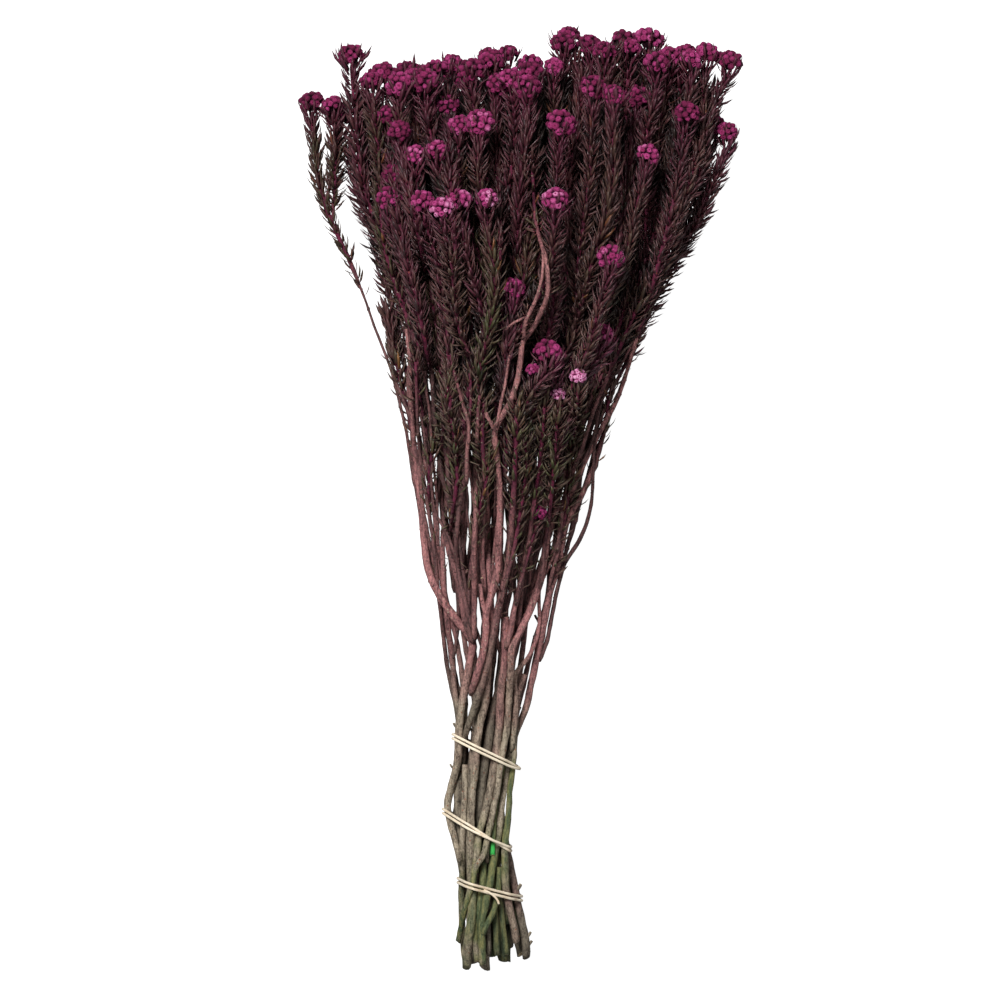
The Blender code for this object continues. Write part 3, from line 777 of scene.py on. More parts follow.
def newGroup(name, inputs, outputs):
    # A shader node group with named sockets; inputs are (name, kind, value).
    tree = bpy.data.node_groups.new(name, "ShaderNodeTree")
    for label, kind, value in inputs:
        socket = tree.interface.new_socket(label, in_out="INPUT", socket_type=f"NodeSocket{kind}")
        if value is not None:
            socket.default_value = value
    for label, kind in outputs:
        tree.interface.new_socket(label, in_out="OUTPUT", socket_type=f"NodeSocket{kind}")
    return tree, put(tree, "NodeGroupInput").outputs, put(tree, "NodeGroupOutput").inputs


def dyeBlotches():
    # The dye took unevenly: soft blotches between two colours, and their mask.
    tree, given, result = newGroup(
        "dyeBlotches",
        (("Vector", "Vector", None), ("Size", "Float", 120.0),
         ("Edge", "Float", 0.12), ("Level", "Float", 0.5),
         ("Plain", "Color", None), ("Dyed", "Color", None)),
        (("Color", "Color"), ("Mask", "Float")))
    noise = put(tree, "ShaderNodeTexNoise", {
        "Vector": given["Vector"], "Scale": given["Size"], "Detail": 3.0})
    low = less(given["Level"], given["Edge"])
    high = add(given["Level"], given["Edge"])
    mask = rescale(noise.outputs[0], low, high)
    tree.links.new(mixColour(mask, given["Plain"], given["Dyed"]), result["Color"])
    tree.links.new(mask, result["Mask"])
    return tree


def fibres():
    # Fine fibres or wool: a height and a mask, drawn out along one axis by the stretch.
    tree, given, result = newGroup(
        "fibres",
        (("Vector", "Vector", None), ("Size", "Float", 900.0),
         ("Stretch", "Vector", (1.0, 0.15, 1.0)), ("Roughness", "Float", 0.6)),
        (("Height", "Float"), ("Mask", "Float")))
    drawn = calcVector("MULTIPLY", given["Vector"], given["Stretch"])
    noise = put(tree, "ShaderNodeTexNoise", {
        "Vector": drawn, "Scale": given["Size"], "Detail": 4.0, "Roughness": given["Roughness"]})
    tree.links.new(noise.outputs[0], result["Height"])
    tree.links.new(rescale(noise.outputs[0], 0.38, 0.62), result["Mask"])
    return tree


blotchGroup, fibreGroup = dyeBlotches(), fibres()


def blotches(tree, size, level, plain, dyed, edge=0.12):
    plugs = {"Vector": spot(tree), "Size": size, "Edge": edge, "Level": level, "Plain": plain, "Dyed": dyed}
    return put(tree, "ShaderNodeGroup", plugs, node_tree=blotchGroup).outputs


def fibreLines(tree, size, stretch, roughness=0.6):
    plugs = {"Vector": spot(tree), "Size": size, "Stretch": stretch, "Roughness": roughness}
    return put(tree, "ShaderNodeGroup", plugs, node_tree=fibreGroup).outputs


def newMaterial(name, **constants):
    # A material with its Principled shader; constants are set on the shader's own sockets.
    material = bpy.data.materials.new(name)
    material.use_nodes = True
    tree = material.node_tree
    shader = tree.nodes["Principled BSDF"]
    for socket, value in constants.items():
        shader.inputs[socket].default_value = value
    return material, tree, shader


def bumpOf(height, strength, distance):
    plugs = {"Height": height, "Strength": strength, "Distance": distance}
    return outOf(treeOf(height), "ShaderNodeBump", plugs)


def barkMaterial():
    # Grey-brown at the foot, dyed mauve higher up and crimson where the leaves grow, darkened as painted
    # shade where the wood lies deep inside the bunch.
    look = {
        "foot": srgb(178, 164, 142), "footDark": srgb(66, 54, 42),
        "mauve": srgb(178, 120, 118), "mauveDark": srgb(64, 38, 40),
        "core": srgb(112, 18, 58), "coreDark": srgb(60, 12, 34),
        "green": srgb(74, 98, 56), "moss": srgb(112, 112, 56), "rust": srgb(140, 72, 44),
        "fresh": srgb(62, 190, 84),
        "cut": srgb(190, 172, 136), "pith": srgb(120, 84, 52),
    }
    material, tree, shader = newMaterial("dyedBark", Roughness=0.8)
    place = spot(tree)
    y = put(tree, "ShaderNodeSeparateXYZ", {0: place}).outputs[1]
    broad = outOf(tree, "ShaderNodeTexNoise", {"Vector": place, "Scale": 30.0})
    height = add(y, times(less(broad, 0.5), 0.16))
    height = add(height, reading(tree, "dye"))
    grain = fibreLines(tree, 1000.0, (1.0, 0.6, 1.0), 0.8)
    streaks = fibreLines(tree, 480.0, (1.0, 0.12, 1.0), 0.65)
    share = add(times(grain["Mask"], 0.55),
                 times(streaks["Mask"], 0.45))
    foot = mixColour(share, look["footDark"], look["foot"])
    mauve = mixColour(share, look["mauveDark"], look["mauve"])
    colour = mixColour(rescale(height, frameY(-150), frameY(-60)), foot, mauve)
    core = mixColour(share, look["coreDark"], look["core"])
    colour = mixColour(reading(tree, "leafy"), colour, core)
    speckle = put(tree, "ShaderNodeTexVoronoi", {"Vector": place, "Scale": 480.0})
    spots = rescale(speckle.outputs["Distance"], 0.12, 0.3, 0.7, 0.0)
    some = put(tree, "ShaderNodeSeparateColor", {0: speckle.outputs["Color"]}).outputs
    pale = mixColour(rescale(some[0], 0.7, 0.8), look["footDark"], look["foot"])
    pale = mixColour(rescale(some[1], 0.82, 0.86), pale, look["rust"])
    colour = mixColour(spots, colour, pale)
    stain = blotches(tree, 62.0, 0.44, (0, 0, 0, 1), (1, 1, 1, 1), 0.16)["Mask"]
    stain = times(add(stain, 0.35), reading(tree, "greenStain"))
    stain = times(rescale(stain, 0.12, 0.8), 0.85)
    dyed = mixColour(streaks["Mask"], look["green"], look["moss"])
    dyed = darkened(dyed, add(0.45, times(share, 0.75)))
    colour = mixColour(stain, colour, dyed)
    colour = mixColour(rescale(reading(tree, "greenStain"), 1.2, 1.6), colour, look["fresh"])
    # the stem's own tone, together with painted shade deep inside the bunch, darkens the bark
    shade = add(0.16, times(reading(tree, "barkTone"), 0.92))
    colour = darkened(colour, shade)
    face = mixColour(reading(tree, "pith"), look["cut"], look["pith"])
    colour = mixColour(reading(tree, "cutFace"), colour, face)
    tree.links.new(colour, shader.inputs["Base Color"])
    relief = add(grain["Height"], times(streaks["Height"], 0.8))
    relief = less(relief, times(spots, 0.25))
    tree.links.new(bumpOf(relief, 0.75, 0.0006), shader.inputs["Normal"])
    return material


def leafMaterial():
    # Narrow leaves between brown, olive and mauve, crimson close to the flowers, darkened as painted shade
    # deep inside the bunch.
    look = {
        "dark": srgb(54, 31, 33), "brown": srgb(94, 64, 58), "olive": srgb(86, 73, 52),
        "green": srgb(74, 80, 42), "mauve": srgb(98, 44, 62), "dry": srgb(140, 98, 54),
        "bract": srgb(104, 36, 68), "edge": srgb(130, 102, 94), "base": srgb(118, 14, 54),
        "high": srgb(218, 184, 202),
    }
    material, tree, shader = newMaterial("dyedLeaf", Roughness=0.55)
    leafTone, shootTone = reading(tree, "leafTone"), reading(tree, "shootTone")
    nearHead, across = reading(tree, "nearHead"), reading(tree, "across")
    lengthwise = reading(tree, "lengthwise")
    dull = ramp(leafTone, (0.0, look["dark"]), (0.3, look["brown"]), (0.62, look["olive"]),
                (0.8, look["brown"]), (0.985, look["brown"]), (0.995, look["dry"]))
    dyed = ramp(leafTone, (0.0, look["dark"]), (0.35, look["mauve"]), (0.7, look["brown"]),
                (1.0, look["mauve"]))
    fresh = ramp(leafTone, (0.0, look["brown"]), (0.4, look["olive"]), (0.8, look["green"]),
                 (0.97, look["olive"]), (0.99, look["dry"]))
    colour = mixColour(rescale(shootTone, 0.45, 0.75), dull, dyed)
    colour = mixColour(rescale(shootTone, 0.22, 0.08), colour, fresh)
    mottled = blotches(tree, 240.0, 0.5, (0.72, 0.72, 0.72, 1), (1.12, 1.05, 1.05, 1), 0.2)["Color"]
    colour = darkened(colour, mottled)
    colour = mixColour(times(nearHead, 0.75), colour, look["bract"])
    base = rescale(lengthwise, 0.42, 0.0, 0.0, 0.85)
    colour = mixColour(base, colour, look["base"])
    # paler edges: partly the leaves' own pale margins, partly a painted highlight
    rim = times(rescale(across, 0.55, 1.0), 0.45)
    colour = mixColour(rim, colour, look["edge"])
    # painted shade: leaves that lie deeper inside the bunch are darkened
    shade = rescale(reading(tree, "inner"), 0.0, 1.0, 0.94, 0.22)
    colour = darkened(colour, shade)
    y = put(tree, "ShaderNodeSeparateXYZ", {0: spot(tree)}).outputs[1]
    colour = mixColour(rescale(y, frameY(60), frameY(190)), colour, look["high"], "MULTIPLY")
    tree.links.new(colour, shader.inputs["Base Color"])
    veins = fibreLines(tree, 2400.0, (1.0, 0.3, 1.0))
    tree.links.new(bumpOf(veins["Height"], 0.35, 0.0002), shader.inputs["Normal"])
    gloss = rescale(veins["Mask"], 0.0, 1.0, 0.46, 0.66)
    tree.links.new(gloss, shader.inputs["Roughness"])
    return material


def flowerMaterial():
    # Woolly knobs: painted shade makes them dark in the dimple and between them, and a painted highlight
    # makes them paler on the crown and the rim.
    look = {
        "dark": srgb(42, 5, 24), "deep": srgb(98, 24, 58), "wine": srgb(138, 38, 86),
        "pink": srgb(180, 64, 126), "pale": srgb(208, 104, 162), "dimple": srgb(34, 4, 18),
        "bleached": srgb(232, 172, 206),
    }
    material, tree, shader = newMaterial("woollyFlower", Roughness=0.88)
    shader.inputs["Sheen Weight"].default_value = 0.05
    shader.inputs["Specular IOR Level"].default_value = 0.2
    shader.inputs["Sheen Roughness"].default_value = 0.4
    shader.inputs["Sheen Tint"].default_value = srgb(214, 110, 172)
    headTone, knobTone = reading(tree, "headTone"), reading(tree, "knobTone")
    crown = reading(tree, "crown")
    wool = fibreLines(tree, 1300.0, (1.0, 1.0, 1.0), 0.8)
    tone = add(headTone, times(less(knobTone, 0.5), 0.5))
    full = ramp(tone, (0.0, look["deep"]), (0.35, look["wine"]), (0.7, look["pink"]),
                (1.0, look["pale"]))
    # painted shade and highlight: each knob is dark (hollow) at its base and in its dimple, full-coloured
    # on its crown
    hollow = mixColour(rescale(tone, 0.3, 1.0, 0.0, 0.5), look["dark"], look["wine"])
    share = add(times(crown, 0.9),
                 rescale(wool["Mask"], 0.0, 1.0, -0.1, 0.24))
    colour = mixColour(share, hollow, full)
    # pale wool on the crowns of the palest heads: partly their own paler colour, partly a painted highlight
    bleached = times(rescale(tone, 0.72, 1.15),
                    rescale(crown, 0.4, 1.0, 0.0, 0.85))
    colour = mixColour(bleached, colour, look["bleached"])
    colour = mixColour(times(reading(tree, "dimple"), 0.8), colour, look["wine"])
    # painted shade: the heart ball between the knobs is near-black
    colour = mixColour(reading(tree, "heart"), colour, look["dimple"])
    tree.links.new(colour, shader.inputs["Base Color"])
    tree.links.new(bumpOf(wool["Height"], 0.9, 0.0007), shader.inputs["Normal"])
    return material


def rubberMaterial():
    look = {"cream": srgb(236, 222, 198), "worn": srgb(204, 182, 152)}
    material, tree, shader = newMaterial("naturalRubber", Roughness=0.5)
    marks = blotches(tree, 160.0, 0.6, look["cream"], look["worn"], 0.15)
    tree.links.new(marks["Color"], shader.inputs["Base Color"])
    drawn = fibreLines(tree, 2600.0, (0.3, 1.0, 1.0))
    tree.links.new(bumpOf(drawn["Height"], 0.25, 0.0002), shader.inputs["Normal"])
    tree.links.new(rescale(marks["Mask"], 0.0, 1.0, 0.42, 0.6), shader.inputs["Roughness"])
    return material


bark, leafSkin, wool, rubber = barkMaterial(), leafMaterial(), flowerMaterial(), rubberMaterial()
print("materials made")


def newMesh(name, points, edges, faces, values):
    # A mesh in metres, with values that its points carry.
    mesh = bpy.data.meshes.new(name)
    mesh.from_pydata(points, edges, faces)
    for label, own in values.items():
        mesh.attributes.new(label, "FLOAT", "POINT").data.foreach_set("value", own)
    if faces:
        mesh.shade_smooth()
    return mesh


def quads(start, rows, sides, closed=False):
    # Faces between rings of points; a closed run also joins the last ring to the first one.
    faces = []
    for k in range(rows if closed else rows - 1):
        for j in range(sides):
            nextJ = (j + 1) % sides
            low, high = start + k * sides, start + (k + 1) % rows * sides
            faces.append((low + j, high + j, high + nextJ, low + nextJ))
    return faces


class Heap:
    # Gathers closed shapes, or open lines, in layout millimetres, with values at their points.

    def __init__(self, *names):
        self.points, self.edges, self.faces, self.count = [], [], [], 0
        self.values = {name: [] for name in names}

    def add(self, points, faces=None, **values):
        if faces is None:
            self.edges += [(self.count + k, self.count + k + 1) for k in range(len(points) - 1)]
            self.values = self.values or {name: [] for name in values}
        self.faces += [[self.count + corner for corner in face] for face in faces or ()]
        self.points.append(points)
        self.count += len(points)
        for name, own in self.values.items():
            own.append(np.broadcast_to(np.asarray(values.get(name, 0.0), float), len(points)))

    def mesh(self, name):
        values = {label: np.concatenate(own) for label, own in self.values.items()}
        return newMesh(name, toFrame(np.vstack(self.points)), self.edges, self.faces, values)


def closedTube(line, radii, sides, ridges=None, slant=(0.0, 0.0), inset=0.55):
    # Points and faces of a tube along a line, closed at both ends by an inset ring and a centre.
    # The slant tilts the first end's face, as a share of the radius, towards (x, z).
    line, radii = np.asarray(line, float), np.asarray(radii, float)
    along = np.gradient(line, axis=0)
    along /= np.linalg.norm(along, axis=1)[:, None]
    side = np.cross(along, (0.0, 0.0, 1.0))
    side /= np.linalg.norm(side, axis=1)[:, None]
    up = np.cross(side, along)
    angle = 2 * math.pi * np.arange(sides) / sides
    reach = radii[:, None] * (1 + (0 if ridges is None else ridges))
    rings = (line[:, None] + reach[..., None] * (np.cos(angle)[:, None] * side[:, None]
                                                 + np.sin(angle)[:, None] * up[:, None]))
    tilt = slant[0] * np.cos(angle) + slant[1] * np.sin(angle)
    rings[0] += (tilt * radii[0])[:, None] * along[0]
    last = len(line) - 1
    ends = []
    for ring in (0, last):
        middle = rings[ring].mean(axis=0)
        ends += [middle + (rings[ring] - middle) * inset, middle[None]]
    points = np.vstack((rings.reshape(-1, 3), *ends))
    faces = quads(0, len(line), sides)
    body = len(line) * sides
    for ring, first, turned in ((0, body, False), (last, body + sides + 1, True)):
        for j in range(sides):
            nextJ = (j + 1) % sides
            outer = (ring * sides + j, ring * sides + nextJ, first + nextJ, first + j)
            inner = (first + sides, first + j, first + nextJ)
            faces += [outer[::-1], inner[::-1]] if turned else [outer, inner]
    return points, faces


def placeAt(line, y):
    # Where a centre line is at the heights y, as (x, z).
    return np.stack([np.interp(y, line[:, 1], line[:, axis]) for axis in (0, 2)], axis=-1)


wander = {
    "amounts": (0.7, 0.16, 0.07),    # how far a stem strays to the side, in mm, over each wave
    "waves": (90.0, 38.0, 17.0),
    "sway": 2.3,                     # how far a leafy shoot leans out of its row, in mm
    "step": 1.5,                     # between the points of a centre line
    "joining": 30.0,                 # a branch reaches its own course over this height
}


def smoothed(heights, values, at):
    # A smooth curve through the values at the heights, read at other heights.
    slopes = np.gradient(values, heights, axis=0)
    k = np.clip(np.searchsorted(heights, at) - 1, 0, len(heights) - 2)
    span = (heights[k + 1] - heights[k])[:, None]
    t = (at - heights[k])[:, None] / span
    return ((2 * t**3 - 3 * t**2 + 1) * values[k] + (t**3 - 2 * t**2 + t) * span * slopes[k]
            + (3 * t**2 - 2 * t**3) * values[k + 1] + (t**3 - t**2) * span * slopes[k + 1])


def strayed(course, run, share, random):
    # The course with a grown stem's small waves; the share makes them larger or smaller.
    for amount, wave in zip(wander["amounts"], wander["waves"]):
        phase = random.uniform(0, 6.28, 2)
        course = course + share * amount * np.sin(2 * math.pi * run[:, None] / wave + phase)
    return course


def centreTable(i):
    # Heights and centres of a strand's rings, from its start to the middle of its flower head.
    heights, centres = [], []
    if i in woodTubes:
        heights += list(woodTubes[i].heights)
        centres += list(woodTubes[i].centres)
    skipped = 1 if heights else 0
    heights += list(leafTubes[i].heights[skipped:])
    centres += list(leafTubes[i].centres[skipped:])
    heights.append(headBalls[i].centre[1])
    centres.append(headBalls[i].centre[[0, 2]])
    return np.array(heights), np.array(centres)


def traceLines():
    # Each strand's centre line with the small bends of a grown stem.
    lines = []
    for i, strand in enumerate(strands):
        heights, centres = centreTable(i)
        y = np.append(np.arange(heights[0], heights[-1] - 0.5, wander["step"]), heights[-1])
        xz = smoothed(heights, centres, y)
        random = np.random.default_rng(100 + i)
        fade = between(y[0], y[0] + 40, y) * between(y[-1], y[-1] - 14, y)
        for amount, wave in zip(wander["amounts"], wander["waves"]):
            phase = random.uniform(0, 2 * math.pi, 2)
            xz += amount * fade[:, None] * np.sin(2 * math.pi * y[:, None] / wave + phase)
        leafy = between(-10, 60, y) * between(y[-1] + 8, y[-1] - 50, y)
        lean = random.uniform(0, 2 * math.pi, 2)
        xz += wander["sway"] * leafy[:, None] * np.sin(2 * math.pi * y[:, None] / 118.0 + lean)
        if strand["parent"] is not None:
            parent = lines[strand["parent"]]
            xz += (placeAt(parent, y[0]) - xz[0]) * between(y[0] + wander["joining"], y[0], y)[:, None]
        lines.append(np.column_stack((xz[:, 0], y, xz[:, 1])))
    return lines


def woodThickness(i, y):
    # Radius at heights y of a strand's bare wood, then of the core that its leaves grow from.
    strand = strands[i]
    core = np.interp(y, (strand["leaf"], strand["tip"][1]), (twigRadius, stemLook["tipRadius"]))
    if i not in woodTubes:
        return core * 0.85
    bare = np.interp(y, woodTubes[i].heights, woodTubes[i].radii)
    bare = bare * (1 - stemLook["slimming"] * between(-150, -60, y))
    bare = bare * (stemLook["trim"] + 0.1 * between(-100, -150, y))
    return np.where(y < strand["leaf"], bare, core)


def grownShoots(lines):
    # What stems and leaves are grown from: each strand's line, wood radii and leafy stretch.
    shoots = []
    for i, strand in enumerate(strands):
        line = lines[i]
        forks = [other["start"] for other in strands if other["parent"] == i and other["main"]]
        shoots.append({
            "line": line, "radii": woodThickness(i, line[:, 1]), "sprig": strand["sprig"],
            "leaf": strand["leaf"], "bare": i in woodTubes, "trunk": strand["parent"] is None,
            "forks": forks, "head": True, "headSize": headSize(strand),
        })
    return shoots


class Envelope:
    # How deep a point lies inside the bunch, from its front, back and sides.

    def __init__(self):
        self.cell, self.low = 3.0, np.array((-140.0, -280.0, -20.0))
        size = (100, 190, 60)
        self.front, self.back = np.full(size[:2], -1e3), np.full(size[:2], 1e3)
        self.right, self.left = np.full(size[1:], -1e3), np.full(size[1:], 1e3)

    def add(self, line, reach):
        for step in (-2, -1, 0, 1, 2):
            aside = np.abs(step) * self.cell
            bulge = np.sqrt(np.maximum(reach**2 - aside**2, 0))
            chosen = aside <= reach
            x, y, z = self.cells(line[chosen] + (step * self.cell, 0, 0))
            np.maximum.at(self.front, (x, y), (line[:, 2] + bulge)[chosen])
            np.minimum.at(self.back, (x, y), (line[:, 2] - bulge)[chosen])
            x, y, z = self.cells(line[chosen] + (0, 0, step * self.cell))
            np.maximum.at(self.right, (y, z), (line[:, 0] + bulge)[chosen])
            np.minimum.at(self.left, (y, z), (line[:, 0] - bulge)[chosen])

    def cells(self, points):
        return np.clip((points - self.low) / self.cell, 0, (99, 189, 59)).astype(int).T

    def depth(self, points, shallow, deep):
        # 0 within the shallow depth in mm, 1 beyond the deep one
        x, y, z = self.cells(points)
        inside = np.minimum(np.minimum(self.front[x, y] - points[:, 2], points[:, 2] - self.back[x, y]),
                            np.minimum(self.right[y, z] - points[:, 0], points[:, 0] - self.left[y, z]))
        return between(shallow, deep, inside)


fillLook = {
    "count": 104, "tries": 40,
    "starts": (-98.0, 20.0),        # heights in mm where these side shoots leave their stems
    "leaves": (20.0, 90.0),         # where their leaves begin
    "tips": ((90.0, 212.0), (196.0, 238.0)),    # where they end, by turns
    "foremost": 0.3,                # share of the bunch's depth in front of which none grows
    # (x, y) of the first tips, behind the top heads
    "behind": ((28, 246), (34, 247), (50, 250), (63, 250), (56, 249), (82, 244), (98, 236), (75, 247),
               (90, 234), (69, 248), (10, 238), (-40, 226), (-88, 226), (104, 230), (38, 245), (44, 248),
               (58, 244), (40, 239), (62, 238), (74, 240), (88, 241), (94, 239), (22, 238), (16, 232),
               (-12, 232), (-26, 228), (31, 238), (52, 240)),
    "radius": 1.25, "tipRadius": 0.7,
    "joining": 60.0, "stray": 1.6,
    "looks": ((70, 40, 8), (50, 25, 2)),    # how far below low and high tips the room is measured
    "flowering": -0.64,             # share of the depth behind which the high ones flower,
    "flowerTips": 190,              # and the height from which they count as high
    "heads": (0.55, 0.88, 0.35),    # smallest and largest of their heads, and their tone
}


def fillShoots(lines):
    # Side shoots: the first ones stand behind the top heads, the others where the crown has most
    # room. High ones at the back carry a flower, the rest none.
    random = np.random.default_rng(42)
    made, occupied = [], list(lines)
    for number in range(fillLook["count"]):
        best = None
        if number < len(fillLook["behind"]):
            x, tip = fillLook["behind"][number]
            centre, width = formAt(tip)[:2]
            best = (0, np.array(((x - centre) / width, random.uniform(-0.6, 0.2))), tip)
        for _ in range(0 if best else fillLook["tries"]):
            turn, reach = random.uniform(0, 2 * math.pi), math.sqrt(random.uniform(0, 0.85))
            share = np.array((reach * math.cos(turn), reach * math.sin(turn)))
            share[1] = share[1] if share[1] < fillLook["foremost"] else -share[1]
            high = number % 2
            tip = random.uniform(*fillLook["tips"][high]) - 30 * max(0.0, share[1])
            room = 0.0
            for y in tip - np.array(fillLook["looks"][high]):
                x, z = placeInForm(share, y)
                room += min(np.hypot(*((placeAt(line, y) - (x, z)) * (1.0, 0.25)))
                            for line in occupied if line[0, 1] < y < line[-1, 1] + 12)
            if best is None or room > best[0]:
                best = (room, share, tip)
        _, share, tip = best
        start, leaf = random.uniform(*fillLook["starts"]), random.uniform(*fillLook["leaves"])
        y = np.arange(start, tip, wander["step"])
        course = np.array([placeInForm(share, height) for height in y])
        course = strayed(course, y, fillLook["stray"], random)
        stems = [i for i, strand in enumerate(strands) if i in woodTubes and lines[i][0, 1] < start - 5
                 and start < strand["leaf"] + 30]
        away = [np.hypot(*(placeAt(lines[i], start) - course[0])) for i in stems]
        parent = stems[int(np.argmin(away))]
        join = between(start + fillLook["joining"], start, y)[:, None]
        course = placeAt(lines[parent], y) * join + course * (1 - join)
        line = np.column_stack((course[:, 0], y, np.maximum(course[:, 1], 3.0)))
        thick = fillLook["radius"]
        radii = np.interp(y, (start, leaf, tip), (thick, thick * 0.9, fillLook["tipRadius"]))
        least, most, tone = fillLook["heads"]
        size = min(most, (line[-1, 2] + 1.2) / (headLook["reach"] + headLook["knobRadius"]))
        flowers = tip > fillLook["flowerTips"] and share[1] < fillLook["flowering"] and size > least
        made.append({
            "line": line, "radii": radii, "sprig": strands[parent]["sprig"], "leaf": max(leaf, start + 25),
            "bare": True, "trunk": False, "forks": [], "head": flowers, "headSize": size,
            "small": (size, tone) if flowers else None, "rise": frontLook["rises"][0],
        })
        occupied.append(line)
    return made


